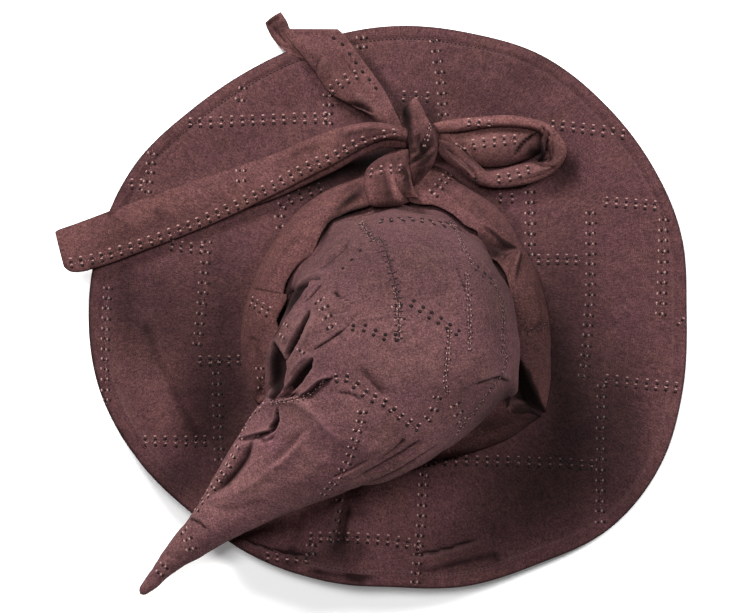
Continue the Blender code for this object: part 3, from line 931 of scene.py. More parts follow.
def crown_waist(angles):
    """Largest radius of the crown in each direction, at heights near the sash's upper edge."""
    rings = crown_surface(np.linspace(1.4, 2.5, 12), np.arange(360) / 360, 1.0)[0]
    beside = np.abs(rings[..., 2] - SASH_HIGH) < WAIST_BAND
    radius = np.where(beside, np.hypot(rings[..., 0], rings[..., 1]), 0).ravel()
    bearings = np.degrees(np.arctan2(rings[..., 1], rings[..., 0])).ravel()
    turn = np.mod(bearings[None] - np.asarray(angles)[:, None] + 180, 360) - 180
    return np.where(np.abs(turn) < WAIST_TURN, radius[None], 0).max(axis=1)


def flat_tube(sides):
    """Shares across and half-thickness factors once round a flat tube with round edges."""
    angle = 2 * np.pi * (np.arange(sides) + 0.5) / sides
    share = (1 - np.cos(angle)) / 2
    return share, np.sign(np.sin(angle)) * np.abs(np.sin(angle)) ** ROUND_EDGE


def make_sash_ring():
    """Across the band: a straight line from foot to upper edge, plus a bulge outwards; the
    tube's thickness is laid off along the band's normal."""
    angles = np.arange(0, 360, 0.4)
    share, side = flat_tube(64)
    foot = at_angle(SASH_FOOT, angles)[:, :1]
    top = crown_waist(angles)[:, None] + SASH_CLEAR
    bulge = SASH_BULGE * 4 * share * (1 - share)
    radius = foot + share * (top - foot) + bulge * 0.7
    height = SASH_LOW + share * (SASH_HIGH - SASH_LOW) + bulge + 0 * radius
    slope_r, slope_z = top - foot, SASH_HIGH - SASH_LOW
    norm = np.hypot(slope_r, slope_z)
    out_r, out_z = slope_z / norm, -slope_r / norm
    heading = np.radians(angles)[:, None]
    centre = np.stack([radius * np.cos(heading), radius * np.sin(heading), height], -1)
    outward = np.stack([out_r * np.cos(heading) + 0 * share, out_r * np.sin(heading) + 0 * share,
                        out_z + 0 * share], -1)
    upper = smooth(side[None, :] + 0.5)
    dents = pits(to_chart(centre), SASH_PITS)
    push = side * SASH_THICK / 2 + dents + upper * uneven(
        fold_height(to_chart(centre), SASH_FOLDS), centre, SASH_UNEVEN)
    points = pulled(centre + outward * push[..., None], SASH_PULLS)
    points[..., 2] = np.maximum(points[..., 2], BRIM_WALL + GAP)
    hollow_shade, worn = hollow_shade_and_wear(points, True, 1)
    # The dents' depth is painted into the colour as shade.
    hollow_shade = np.maximum(hollow_shade, upper * np.clip(-dents / DENT_SHADE, 0, 1))
    return make_piece("sash_ring", points.reshape(-1, 3),
                      grid_faces(*points.shape[:2], closed_u=True, closed_v=True), [],
                      SASH_SUEDE, hollow_shade, worn, painted_light_and_shade(points, SASH_PAINTED_SHADING))


sash_ring = make_sash_ring()

# %% [markdown]
# ## Tails, bow and knot
# Every free stretch of the sash is the same flat tube carried along a short table of
# cross-sections. Each row charts the tube's two edges and gives their heights above the brim,
# because the eye above sees where the edges are and the heights follow from what they lie on.

# %% Ribbons
# Painted light and shade, as on the brim.
RIBBON_PAINTED_SHADING = (
    (140, 235, 75, 26, -18, 0.20),
    (345, 50, 30, 30, 0, 0.12),
    (357, 113, 22, 5, 23, 0.62),
    (361, 107, 10, 3, 25, 0.55),
    (421, 146, 9, 3.0, 72, 0.90),
    (420, 159, 15, 2.6, -24, 0.85),
    (409, 128, 26, 2.6, 88, 0.75),
    (405, 114, 12, 4.0, 78, 0.80),
    (278, 26, 10, 7, -20, 0.60),
    (490, 124, 60, 7, 3, -0.42),
    (378, 186, 24, 18, 0, -0.40),
    (492, 150, 34, 14, 0, -0.16),
    (406, 116, 5, 14, 8, 0.60),
    (416, 150, 8, 5, -40, 0.55),
    (420, 172, 16, 4, -25, 0.45),
    (538, 154, 10, 7, 0, 0.92),
    (530, 140, 22, 9, -30, 0.30),
    (541, 148, 18, 3.0, 84, 0.85),
    (548, 147, 15, 2.2, 78, 0.60),
    (528, 161, 26, 2.4, -4, 0.55),
    (500, 131, 46, 2.2, 1, 0.35),
    (470, 158, 22, 2.6, 38, 0.50),
    (524, 186, 26, 2.6, -6, 0.40),
    (447, 148, 16, 5, 40, 0.45),
    (402, 180, 4, 20, -12, 0.40),
)


def ribbon(rows, steps, thick, folds=(), seed=0, crumple=0.5, sides=40):
    """A flat tube through charted cross-sections: left x y height, right x y height, arch.
    It is lifted clear of the brim, and folds and drift are pressed into its upper face."""
    rows = through(rows, np.linspace(0, len(rows) - 1, steps))
    share, side = flat_tube(sides)
    edges = []
    for k in (0, 3):
        x, y, height = rows[:, k], rows[:, k + 1], rows[:, k + 2]
        spot = from_chart(x, y, height)
        for _ in range(3):
            spot = from_chart(x, y, brim_bed(spot[:, 0], spot[:, 1]) + height)
        edges.append(spot)
    left, right = edges[0][:, None], edges[1][:, None]
    across = share[None, :, None]
    points = left * (1 - across) + right * across
    upward = np.cross(right - left, np.gradient((left + right) / 2, axis=0))
    upward = upward * np.sign(upward[..., 2:]) / np.linalg.norm(upward, axis=2, keepdims=True)
    arch = rows[:, 6:7] * 4 * share * (1 - share)
    points = points + upward * (arch + side * thick / 2)[..., None]
    upper = smooth(side * 2 + 0.5)[None]
    push = fold_height(to_chart(points), folds) * upper + crumple * (
        uneven(0.0, points, ((drift, 1.0, 17.0, seed + 31), (crumples, 0.7, 12.0, seed + 32))))
    points = points + upward * push[..., None]
    radius = np.hypot(points[..., 0], points[..., 1])
    inside = smooth((brim_edge(points[..., 0], points[..., 1])[0] + 6 - radius) / 4)
    floor = brim_bed(points[..., 0], points[..., 1]) + GAP
    points[..., 2] += np.maximum(floor - points[..., 2], 0) * inside
    return points


def tube_mesh(name, tubes):
    """One mesh from several tubes, each a grid closed round its section and capped at both
    ends with a fan to its middle."""
    places, quads, fans, hollow_shades, worns, ends, start = [], [], [], [], [], [], 0
    for points in tubes:
        rows, columns = points.shape[:2]
        ring = np.arange(columns)
        quads.append(start + grid_faces(rows, columns, closed_u=True))
        ends.append((start + ring, start + (rows - 1) * columns + ring,
                     points[0].mean(0), points[-1].mean(0)))
        hollow_shade, worn = hollow_shade_and_wear(points, True, 1)
        places.append(points.reshape(-1, 3))
        hollow_shades.append(hollow_shade.ravel())
        worns.append(worn.ravel())
        start += rows * columns
    for first, final, near, far in ends:
        places.append([near, far])
        fans += [cap_faces(first, start, True), cap_faces(final, start + 1, False)]
        start += 2
    return make_piece(name, np.concatenate(places), np.concatenate(quads),
                      np.concatenate(fans), SASH_SUEDE,
                      np.concatenate(hollow_shades), np.concatenate(worns),
                      painted_light_and_shade(np.concatenate(places), RIBBON_PAINTED_SHADING))


# %% [markdown]
# ## The long tail
# It leaves the knot, comes down to the brim and runs out over its edge. Under it lies a
# second ply of the folded strip.

# %% The long tail
TAIL_LONG = (
    # left x, y, height, right x, y, height, arch
    (410, 129, 30, 407, 142, 29, 2),
    (390, 124, 28, 392, 139.5, 28, 3),
    (370, 122, 26, 376, 142, 26, 4),
    (350, 125, 22, 357, 151, 24, 4),
    (330, 130, 16, 338, 162, 21, 3),
    (300, 142, 10, 309, 177, 16, 3),
    (270, 155, 6, 280, 192, 10, 2),
    (200, 178, 3, 210, 225, 4, 2),
    (120, 207, 4, 130, 256, 4, 1.5),
    (80, 222, 5, 90, 270, 5, 1),
    (60, 229, 5, 72, 272, 5, 1),
    (55, 232, 5, 64, 267, 5, 1),
)
# The second ply, which shows as a narrow roll under the first.
TAIL_UNDER = (
    (408, 134, 25, 406, 148, 25, 1),
    (390, 132, 23, 391, 148, 23, 1),
    (374, 136, 21, 377, 149.5, 20, 1),
    (352, 144, 18, 357, 158.5, 17, 1),
    (332, 154, 14, 338, 169.5, 14, 1),
    (302, 168, 9, 309, 183.5, 9, 1),
    (274, 182, 4, 280, 196.5, 4.5, 1),
    (250, 192, 1.5, 255, 206, 2, 0.5),
)
TAIL_LONG_FOLDS = (
    (((412, 137), (398, 135), (379, 137), (358, 145), (336, 157)), 0.8, -0.6, 4, 3),
    (((398, 130), (370, 129), (340, 137)), 1.2, 1.2, 4, 5),
    (((330, 140), (300, 152), (262, 168)), 0.9, 0.9, 6, 8),
    (((241, 163), (241, 176), (242, 190)), -0.8, -0.8, 3, 3),
    (((220, 180), (160, 200), (100, 222)), -0.5, -0.5, 7, 7),
    (((200, 212), (150, 232), (90, 256)), -0.7, -0.7, 4, 4),
)
tail_long_cloth = tube_mesh(
    "tail_long_cloth",
    [ribbon(TAIL_LONG, 190, 3.6, TAIL_LONG_FOLDS, 1, 0.45),
     ribbon(TAIL_UNDER, 110, 3.0, (), 12, 0.35, sides=24)])

# %% [markdown]
# ## The short tail
# It points away from the knot, and its end turns over downwards.

# %% The short tail
TAIL_SHORT = (
    (388, 134, 12, 405, 130, 13, 1),
    (371, 117, 10, 398, 117, 14, 2),
    (351, 105, 7, 386, 93, 11, 2.5),
    (330, 93, 4, 374, 75, 8, 2.5),
    (315, 72, 3, 360, 56, 7, 2),
    (301, 54, 3, 350, 42, 5, 1.5),
    (289, 40, 3, 343, 33.5, 5, 1),
    (281, 29, 3, 338, 29, 5, 0.5),
)
TAIL_SHORT_FOLDS = (
    (((375, 115), (360, 108), (345, 106)), 1.5, -3.5, 4, 4),
    (((384, 126), (366, 104), (352, 92)), 1.0, 1.0, 5, 6),
    (((318, 78), (318, 66), (324, 55)), -1.2, 0.6, 3, 4),
    (((345, 88), (328, 66), (306, 42)), 0.8, 0.8, 7, 8),
    (((374, 100), (356, 74), (334, 40)), -0.9, 0.5, 3, 3),
    (((294, 36), (315, 35), (336, 36)), -0.7, -0.7, 3, 3),
)
TAIL_END = (
    (306, 60, -1, 318, 45, -1, 1),
    (292, 55, -2, 302, 38, -1, 2),
    (281, 48, -3, 291, 30, -2, 3),
    (271, 36, -4, 287, 21, -3, 4),
    (265, 23, -4, 281, 12, -3, 5),
)
TAIL_END_FOLDS = (
    (((290, 44), (280, 34), (272, 23)), -2.8, -1.0, 3, 3),
    (((267, 27), (273, 22), (283, 16)), -2.4, -2.4, 3, 3),
)
tail_short_cloth = tube_mesh(
    "tail_short_cloth",
    [ribbon(TAIL_SHORT, 110, 4.0, TAIL_SHORT_FOLDS, 2, 0.5),
     ribbon(TAIL_END, 60, 3.2, TAIL_END_FOLDS, 3, 0.4)])

# %% [markdown]
# ## The bow
# One strip makes the loop, a second its inner side and a third crosses it below. Two short
# ribs stand in the pinched end.

# %% The bow loop
BOW_LOOP = (
    (434, 123, 27, 438, 133, 26, 1),
    (455, 119, 18, 458, 132, 17, 2),
    (478, 117, 13, 480, 129, 12, 2),
    (505, 115, 12, 506, 127, 11, 2.5),
    (530, 118, 12, 531, 129, 11, 2.5),
    (548, 124, 12, 542, 135, 11, 2.5),
    (561, 137, 12, 549, 142, 11, 3),
    (567, 150, 12, 551, 151, 10, 3),
    (562, 164, 11, 549, 157, 9, 3),
    (548, 176, 10, 543, 159, 6, 3.5),
    (528, 184, 9, 524, 163, 3.5, 4),
    (505, 187.5, 9, 502, 169, 3, 4),
    (488, 186, 10, 484, 171, 5, 3.5),
    (470, 176, 14, 473, 163, 9, 3),
    (453, 164, 21, 457, 152, 17, 2),
    (438, 154, 25, 440, 143, 24, 1),
)
BOW_INNER = (
    (438, 131, 21, 440, 142, 21, 1),
    (455, 130, 13, 460, 153, 11, 3),
    (475, 127, 9, 479, 166, 4, 5),
    (500, 126, 8, 504, 166, 3, 5),
    (525, 127, 8, 525, 160, 3, 4),
    (543, 133, 8, 543, 152, 4, 2),
    (556, 141, 7, 555, 147, 6, 1),
)
BOW_CROSS = (
    (439, 139, 29, 436, 151, 28, 1),
    (455, 145, 22, 446, 161, 22, 2),
    (473, 159, 16, 462, 173, 15, 2.5),
    (488, 173, 13, 478, 184, 12, 2),
    (500, 183, 9, 493, 188, 9, 1),
)
BOW_RIBS = (
    ((545, 130, 14, 550, 130, 14, 1), (541, 143, 14, 546, 144, 14, 1),
     (541, 153, 12, 545, 156, 12, 1), (535, 157, 9, 540, 161, 9, 0)),
    ((552, 133, 14, 556, 134, 14, 1), (548, 146, 14, 553, 147, 14, 1),
     (549, 157, 12, 553, 160, 12, 1), (543, 162, 9, 547, 166, 9, 0)),
)
BOW_FOLDS = (
    (((560, 163), (545, 171), (525, 177), (507, 181)), -1.8, 0.8, 3, 4),
    (((557, 136), (561, 148), (557, 161)), -1.6, -1.0, 3, 3),
    (((447, 133), (470, 124), (500, 121)), 0.6, 0.6, 3, 3),
    (((500, 173), (515, 172), (532, 166)), -0.8, -0.8, 3, 4),
    (((541, 126), (545, 133), (552, 139)), -2.4, -1.0, 2.2, 2.4),
    (((548, 121), (552, 131), (560, 141)), -1.6, 0.6, 2.4, 3),
    (((529, 160), (541, 166), (556, 168)), -2.0, -0.8, 2.2, 2.6),
    (((470, 131), (500, 129), (528, 131)), -1.6, -0.4, 2, 2.4),
)
INNER_FOLDS = (
    (((512, 158), (518, 147), (528, 137), (541, 130)), 1.2, -2.2, 4, 4),
    (((446, 137), (470, 133), (500, 132)), -1.2, -1.2, 3, 3),
    (((476, 163), (468, 150), (455, 142)), 0.8, -1.0, 4, 4),
    (((450, 142), (490, 142), (515, 140)), 0.6, 0.6, 6, 6),
)
CROSS_FOLDS = (
    (((440, 143), (455, 157), (470, 171), (482, 183)), -2.2, 0.8, 3, 3),
)
bow_cloth = tube_mesh(
    "bow_cloth",
    [ribbon(BOW_LOOP, 220, 3.4, BOW_FOLDS, 4, 0.45),
     ribbon(BOW_INNER, 90, 3.0, INNER_FOLDS, 9, 0.45),
     ribbon(BOW_CROSS, 60, 3.0, CROSS_FOLDS, 10, 0.4, sides=32)]
    + [ribbon(rib, 30, 2.6, (), 11, 0.2, sides=20) for rib in BOW_RIBS])

# %% [markdown]
# ## The knot
# A small leaf stands on top, with another behind it. The wrap goes round underneath, and a
# flap of it folds up beside the leaf.

# %% The knot
KNOT_LEAF = (
    (412, 100, 27, 417, 100, 27, 0),
    (408, 106, 31, 422, 107, 31, 2),
    (406, 114, 34, 426, 115, 34, 4),
    (407, 124, 36, 431, 125, 35, 5),
    (408, 135, 37, 436, 136, 35, 6),
    (409, 146, 37, 438, 147, 35, 6),
    (410, 156, 36, 435, 160, 34, 5),
    (410, 166, 33, 430, 170, 32, 4),
    (410, 175, 29, 422, 179, 28, 2),
    (411, 182, 25, 416, 184, 24, 1),
)
LEAF_FOLDS = (
    (((423, 134), (419, 143), (418, 151), (411, 158)), -3.4, -5.0, 2.4, 3.4),
    (((410, 166), (418, 160), (428, 153), (436, 144)), -2.0, -3.6, 3, 2.4),
    (((410, 110), (412, 130), (411, 150)), 1.0, 1.0, 3, 4),
    (((426, 118), (432, 132), (433, 145)), 0.9, 0.9, 3, 3),
)
LEAF_BEHIND = (
    (407, 104, 24, 411, 103, 25, 0),
    (402, 112, 27, 410, 110, 29, 2),
    (400, 120, 27, 411, 120, 29, 2),
    (403, 130, 26, 412, 130, 28, 2),
)
KNOT_WRAP = (
    (384, 158, 13, 408, 150, 20, 1),
    (374, 163, 16, 404, 156, 23, 2),
    (366, 171, 21, 404, 164, 27, 4),
    (364, 181, 26, 405, 175, 31, 5),
    (365, 192, 31, 407, 187, 35, 5),
    (368, 201, 33, 409, 198, 36, 4),
    (370, 205, 32, 410, 201, 34, 2),
)
WRAP_FOLDS = (
    (((389, 157), (390, 172), (396, 192), (401, 203)), -1.6, -1.2, 3, 3),
    (((370, 176), (384, 168), (396, 163)), -0.7, -0.7, 3, 4),
    (((372, 192), (384, 194), (394, 192)), 0.3, 0.3, 6, 6),
)
KNOT_FLAP = (
    (393, 156, 24, 409, 150, 26, 1),
    (392, 163, 29, 410, 160, 30, 3),
    (394, 172, 33, 411, 170, 33, 4),
    (395, 182, 36, 412, 181, 35, 4),
    (399, 191, 38, 415, 191, 36, 4),
    (406, 198, 38, 419, 198, 36, 2),
)
FLAP_FOLDS = (
    (((402, 158), (400, 170), (404, 186)), -1.2, -2.4, 3, 3),
    (((398, 171), (400, 175), (403, 180)), -3.6, -3.6, 3.2, 3.2),
    (((407, 166), (409, 178), (413, 192)), -1.4, 0.6, 3, 3),
)
knot_cloth = tube_mesh(
    "knot_cloth",
    [ribbon(KNOT_LEAF, 90, 4.4, LEAF_FOLDS, 5, 0.3, sides=36),
     ribbon(LEAF_BEHIND, 30, 3.0, (), 6, 0.3, sides=24),
     ribbon(KNOT_WRAP, 60, 4.0, WRAP_FOLDS, 7, 0.15, sides=36),
     ribbon(KNOT_FLAP, 50, 3.4, FLAP_FOLDS, 8, 0.3, sides=30)])

# %% [markdown]
# ## Seams
# Every seam is a row of small units. In each unit two loops of pale thread stand up, and two
# dark holes lie beside them where the needle drew the cloth apart. Other seams show only
# holes, or small specks or the rungs of a ladder along a dark line.

# %% Thread and the kinds of rows
UNIT_STEP = 7.7                      # millimetres from unit to unit
SMALL_STEP = UNIT_STEP / 3
SPECK_STEP = 3.9
RUNG_STEP = 4.7
# Domes: half length, half width and height, then how many sides and rings.
LOOP = ((1.25, 0.75, 0.5), (8, 2))
HOLE = ((1.35, 1.1, 0.18), (8, 1))
DARK = ((1.55, 1.35, 0.22), (8, 1))
SMALL_LOOP = ((0.9, 0.62, 0.4), (8, 2))
BEAD = ((0.42, 0.3, 0.22), (5, 1))
STEEP_HOLE = ((1.5, 3.0, 0.5), (8, 1))
STEEP_LOOP = ((0.7, 0.9, 0.35), (8, 2))
SPECK = ((0.95, 0.6, 0.35), (6, 1))
RUNG = ((1.9, 0.55, 0.2), (8, 1))    # lies across its row, all others along it
RUNG_BEAD = ((0.5, 0.35, 0.3), (6, 1))
HEM_STITCH = ((1.1, 0.6, 0.3), (6, 1))
STRAY = 0.25                         # millimetres that units stray from their row
# The domes of each kind of row: layer, pace, offset across the row, dome, stray. Offsets
# count towards the upper left.
UNITS = {
    "loops": (("threads", UNIT_STEP, 3.3, LOOP, STRAY), ("threads", UNIT_STEP, -1.4, LOOP, STRAY),
              ("holes", UNIT_STEP, 0.9, HOLE, STRAY), ("holes", UNIT_STEP, -3.3, HOLE, STRAY),
              ("threads", SMALL_STEP, -0.3, BEAD, STRAY)),
    "dark": (("holes", UNIT_STEP, 2.0, DARK, STRAY), ("holes", UNIT_STEP, -1.9, DARK, STRAY)),
    "dots": (("holes", UNIT_STEP, 0.0, DARK, STRAY),),
    "steep": (("holes", UNIT_STEP, 4.0, STEEP_HOLE, STRAY),
              ("holes", UNIT_STEP, -2.6, STEEP_HOLE, STRAY),
              ("threads", UNIT_STEP, 0.7, STEEP_LOOP, STRAY)),
    "punched": (("holes", UNIT_STEP, 2.0, DARK, STRAY),
                ("threads", UNIT_STEP, 3.5, SMALL_LOOP, STRAY),
                ("holes", UNIT_STEP, -1.9, DARK, STRAY),
                ("threads", UNIT_STEP, -0.4, SMALL_LOOP, STRAY),
                ("threads", SMALL_STEP, -0.3, BEAD, STRAY)),
    "specks": (("threads", SPECK_STEP, 0.8, SPECK, 0.4), ("holes", SPECK_STEP, 1.6, SPECK, 0.5),
               ("threads", SPECK_STEP, -0.8, SPECK, 0.4), ("holes", SPECK_STEP, -1.6, SPECK, 0.5)),
    "ladder": (("holes", RUNG_STEP, 1.7, RUNG, STRAY), ("holes", RUNG_STEP, -1.7, RUNG, STRAY),
               ("threads", RUNG_STEP, 1.0, RUNG_BEAD, 0.7)),
}
LINES = {"specks": 0.25, "ladder": 0.42}       # half width of the dark line along such a row
SUNK = 0.4                           # how far domes and lines reach into the cloth
LINE_HEIGHT = 0.22
HALF_SPAN = 1.5                      # the direction of a row is taken over twice this length


def plain_thread(name, colour, roughness):
    """Thread or shade: one colour with a fine twist of lighter and darker fibres, darkened and
    lightened by the charted painted light and shade.
    """
    paint = bpy.data.materials.new(name)
    paint.use_nodes = True
    tree = paint.node_tree
    shader = tree.nodes["Principled BSDF"]
    spot = add(tree, "ShaderNodeTexCoord", 0).outputs["Object"]
    noise = add(tree, "ShaderNodeTexNoise", 1, Scale=900.0, Detail=2.0)
    tree.links.new(spot, noise.inputs["Vector"])
    fibres = stretch(tree, 2, noise.outputs["Fac"], 0.3, 0.7)
    low, high = (tuple(k * c for c in colour) + (1,) for k in (0.6, 1.3))
    colour = blend_colour(tree, 3, "MIX", fibres, low, high)
    tree.links.new(with_painted_shading(tree, 4, colour), shader.inputs["Base Color"])
    shader.inputs["Roughness"].default_value = roughness
    shader.inputs["Specular IOR Level"].default_value = 0.25
    return paint


THREAD = plain_thread("thread", (0.245, 0.134, 0.124), 0.85)
HOLE_SHADE = plain_thread("hole_shade", (0.012, 0.004, 0.0045), 0.95)


# %% [markdown]
# ## Finding places on the cloth
# The rows are charted. A ray from the eye through each charted place finds it on the cloth,
# and the units are then set out there at an even pace.


# %% Rays and evenly paced places
def cloth_tree(piece):
    """The piece's faces in a tree that rays can be cast against."""
    places = np.empty(3 * len(piece.data.vertices), np.float32)
    piece.data.vertices.foreach_get("co", places)
    return BVHTree.FromPolygons(places.reshape(-1, 3).tolist(),
                                [face.vertices[:] for face in piece.data.polygons])


def laid_on(tree, line):
    """Points and normals where rays from the eye through a charted line meet cloth."""
    line = np.asarray(line, float)
    long = np.concatenate([[0], np.cumsum(np.linalg.norm(np.diff(line, axis=0), axis=1))])
    steps = max(int(long[-1] * 2), 4)
    even = np.interp(np.linspace(0, long[-1], steps), long, np.arange(len(line)))
    seen = through(line, even)
    aims = (from_chart(seen[:, 0], seen[:, 1], 0 * seen[:, 0]) + HEAD) * MM
    start = Vector((HEAD + EYE) * MM)
    found = [tree.ray_cast(start, Vector(aim) - start) for aim in aims]
    found = [(hit[:], normal[:]) for hit, normal, _, _ in found if hit is not None]
    if len(found) < 2:
        return np.zeros((0, 3)), np.zeros((0, 3))
    places, outward = np.array(found).transpose(1, 0, 2)
    return places / MM - HEAD, outward


def unit_frames(places, outward, step):
    """Evenly paced spots along a line on cloth: place, direction along, direction across
    towards the upper left, and normal."""
    apart = np.linalg.norm(np.diff(places, axis=0), axis=1)
    long = np.concatenate([[0], np.cumsum(apart)])
    count = max(int(round(long[-1] / step)), 1)
    at = (np.arange(count) + 0.5) * long[-1] / count

    def picked(where, values):
        return np.stack([np.interp(where, long, values[:, k]) for k in range(3)], -1)

    spot, up = picked(at, places), picked(at, outward)
    along = picked(at + HALF_SPAN, places) - picked(at - HALF_SPAN, places)
    up = up / np.linalg.norm(up, axis=1, keepdims=True)
    along = along - up * (along * up).sum(1, keepdims=True)
    along = along / np.maximum(np.linalg.norm(along, axis=1, keepdims=True), 1e-9)
    across = np.cross(up, along)
    turn = np.where(across @ np.array([-0.5, 0.86, 0.0]) < 0, -1.0, 1.0)[:, None]
    return spot, along, across * turn, up


# %% [markdown]
# ## Sewing
# Every loop, hole and rung is a low dome, and thousands of them are made as one array. Each
# strays a little from its row, as in sewing by hand, and is laid back down on the cloth.


# %% Domes, lines and rows
def domes(spots, along, across, up, size, sides, rings):
    """Low domes as arrays: rings of a half ellipsoid round each spot, closed by a point on
    top and a point underneath."""
    length, width, height = size
    turn = 2 * np.pi * np.arange(sides) / sides
    lift = np.linspace(0, np.pi / 2, rings + 1)[:-1]
    ring = np.concatenate([
        np.stack([length * np.cos(turn) * np.cos(a), width * np.sin(turn) * np.cos(a),
                  np.full(sides, height * np.sin(a))], -1) for a in lift])
    local = np.concatenate([ring, [[0, 0, height], [0, 0, -SUNK]]])
    points = (spots[:, None] + along[:, None] * local[:, 0:1] + across[:, None] * local[:, 1:2]
              + up[:, None] * local[:, 2:3])
    loop = np.arange(sides)
    quads = [np.stack([k * sides + loop, k * sides + (loop + 1) % sides,
                       (k + 1) * sides + (loop + 1) % sides, (k + 1) * sides + loop], -1)
             for k in range(rings - 1)]
    top, under = rings * sides, rings * sides + 1
    fans = np.concatenate([cap_faces((rings - 1) * sides + loop, top, False),
                           cap_faces(loop, under, True)])
    each = len(local) * np.arange(len(spots))[:, None, None]
    quads = (each + np.concatenate(quads)).reshape(-1, 4) if quads else np.zeros((0, 4), int)
    return points.reshape(-1, 3), quads, (each + fans).reshape(-1, 3)


def joined(parts):
    """Several sets of points, quads and triangles as one."""
    places, quads, fans, start = [], [], [], 0
    for points, four, three in parts:
        places.append(points)
        quads.append(four + start)
        fans.append(three + start)
        start += len(points)
    return np.concatenate(places), np.concatenate(quads), np.concatenate(fans)


def seam_line(places, outward, width):
    """A thin flat cord along the seam, with four sides."""
    along = np.gradient(places, axis=0)
    across = np.cross(outward, along)
    across = across / np.maximum(np.linalg.norm(across, axis=1, keepdims=True), 1e-9)
    grid = np.stack([places - across * width, places + outward * LINE_HEIGHT,
                     places + across * width, places - outward * SUNK], axis=1)
    rows = len(places)
    quads = grid_faces(rows, 4, closed_u=True)
    ends = np.array([[0, 1, 2, 3], [3, 2, 1, 0]]) + np.array([[0], [4 * rows - 4]])
    return grid.reshape(-1, 3), np.concatenate([quads, ends]), np.zeros((0, 3), int)


def settled(tree, spots):
    """The nearest places on the cloth, with their normals."""
    found = [tree.find_nearest(Vector((spot + HEAD) * MM))[:2] for spot in spots]
    places, outward = np.array([(place[:], normal[:]) for place, normal in found]
                               ).transpose(1, 0, 2)
    return places / MM - HEAD, outward


def scattered(tree, frames, off, dome, stray, chance):
    """One dome for each unit of a row at an offset across it, a little out of line, laid
    down on the cloth."""
    spot, along, across, up = frames
    size, detail = dome
    shift = chance.normal(0, stray, (2, len(spot), 1))
    spots, up = settled(tree, spot + across * (off + shift[0]) + along * shift[1])
    across = np.cross(up, along)
    across = across / np.linalg.norm(across, axis=1, keepdims=True)
    along = np.cross(across, up)
    return domes(spots, along, across, up, np.array(size) * chance.uniform(0.9, 1.1), *detail)


def sew(piece, rows, nap=()):
    """All units of a cloth's rows, a kind and a charted line each: loops of thread, dark
    holes and seam lines. The rungs of a ladder are turned a quarter, across their row. The
    places in nap paint light and shade onto them, as onto the cloth."""
    tree = cloth_tree(piece)
    chance = np.random.default_rng(len(rows))
    layers = {"threads": [], "holes": []}
    for kind, line in rows:
        places, outward = laid_on(tree, line)
        if len(places) < 2:
            continue
        for layer, step, off, dome, stray in UNITS[kind]:
            spot, along, across, up = unit_frames(places, outward, step)
            if dome is RUNG:
                spot, along, across, off = spot + across * off, across, -along, 0.0
            frames = (spot, along, across, up)
            layers[layer].append(scattered(tree, frames, off, dome, stray, chance))
        if kind in LINES:
            layers["holes"].append(seam_line(*settled(tree, places[::2]), LINES[kind]))
    name = piece.name.replace("_cloth", "")
    made = []
    for label, paint in (("threads", THREAD), ("holes", HOLE_SHADE)):
        if layers[label]:
            points, quads, fans = joined(layers[label])
            made.append(make_piece(f"{name}_{label}", points, quads, fans, paint,
                                   painted_shading=painted_light_and_shade(points, nap)))
    return made


# %% [markdown]
# ## Where the seams run
# Rows on the brim outline its patches. The short ones are the ends of seams that go on under
# the crown, the sash or a tail.

# %% Rows on the brim
BRIM_ROWS = (
    ((185, 123), (260, 120), (331, 117)),
    ((328, 91), (328, 128)),
    ((244, 82), (239, 106)),
    ((153, 149), (146, 196)),
    ((127, 184), (146, 184)),
    ((207, 237), (203, 290), (197, 349)),
    ((167, 245), (206, 249)),
    ((196, 361), (243, 360)),
    ((216, 357), (220, 465)),
    ((141, 441), (210, 441)),
    ((108, 283), (105, 343), (106, 405)),
    ((325, 186), (283, 205), (282, 232)),
    ((434, 36), (441, 82), (444, 120)),
    ((398, 96), (434, 97)),
    ((548, 124), (590, 129), (628, 135)),
    ((530, 187), (530, 239), (530, 260)),
    ((495, 198), (518, 198)),
    ((534, 259.5), (581, 259.5)),
    ((591, 208), (590, 299), (583, 381)),
    ((602, 201), (660, 206)),
    ((664, 215), (662, 294), (660, 319)),
    ((602, 379), (681, 388)),
    ((602, 381), (600, 527)),
    ((430, 460), (510, 461), (597, 465)),
    ((425, 460), (421, 520), (415, 587)),
    ((306, 537), (375, 539), (423, 546)),
    ((342, 496), (335, 530), (330, 545)),
    ((263, 556), (311, 560)),
    ((311, 541), (311, 558)),
    ((676, 317), (686, 326)),
    ((362, 33), (362, 52)),
)
seams = {brim_cloth: sew(brim_cloth, [("loops", line) for line in BRIM_ROWS], BRIM_PAINTED_SHADING)}

# %% [markdown]
# ## The hem's stitches
# The hem is sewn down all round, and each stitch shows as a short dark dash in its groove.

# %% The hem's topstitching
HEM_STEP = 3.0


def hem_stitches():
    """Short dark dashes all round, on the brim's top, where the hem's groove lies."""
    angles = np.radians(np.linspace(0, 360, 1440, endpoint=False))
    reach = at_angle(BRIM_EDGE, np.degrees(angles))[:, 0] - HEM_WIDTH
    x, y = reach * np.cos(angles), reach * np.sin(angles)
    line = np.stack([x, y, brim_top(x, y)], -1)
    level = np.tile([0.0, 0.0, 1.0], (len(line), 1))
    spot, along, across, up = unit_frames(line, level, HEM_STEP)
    size, detail = HEM_STITCH
    return make_piece("hem_stitches", *domes(spot, along, across, up, size, *detail),
                      HOLE_SHADE)


seams[brim_cloth].append(hem_stitches())

# %% [markdown]
# ## The crown's seams
# The crown's patches meet in several ways: laced like a ladder, closed with small specks of
# thread, or punched with holes on both sides. On its steep far side the units are seen from
# the edge, so they are taller there.

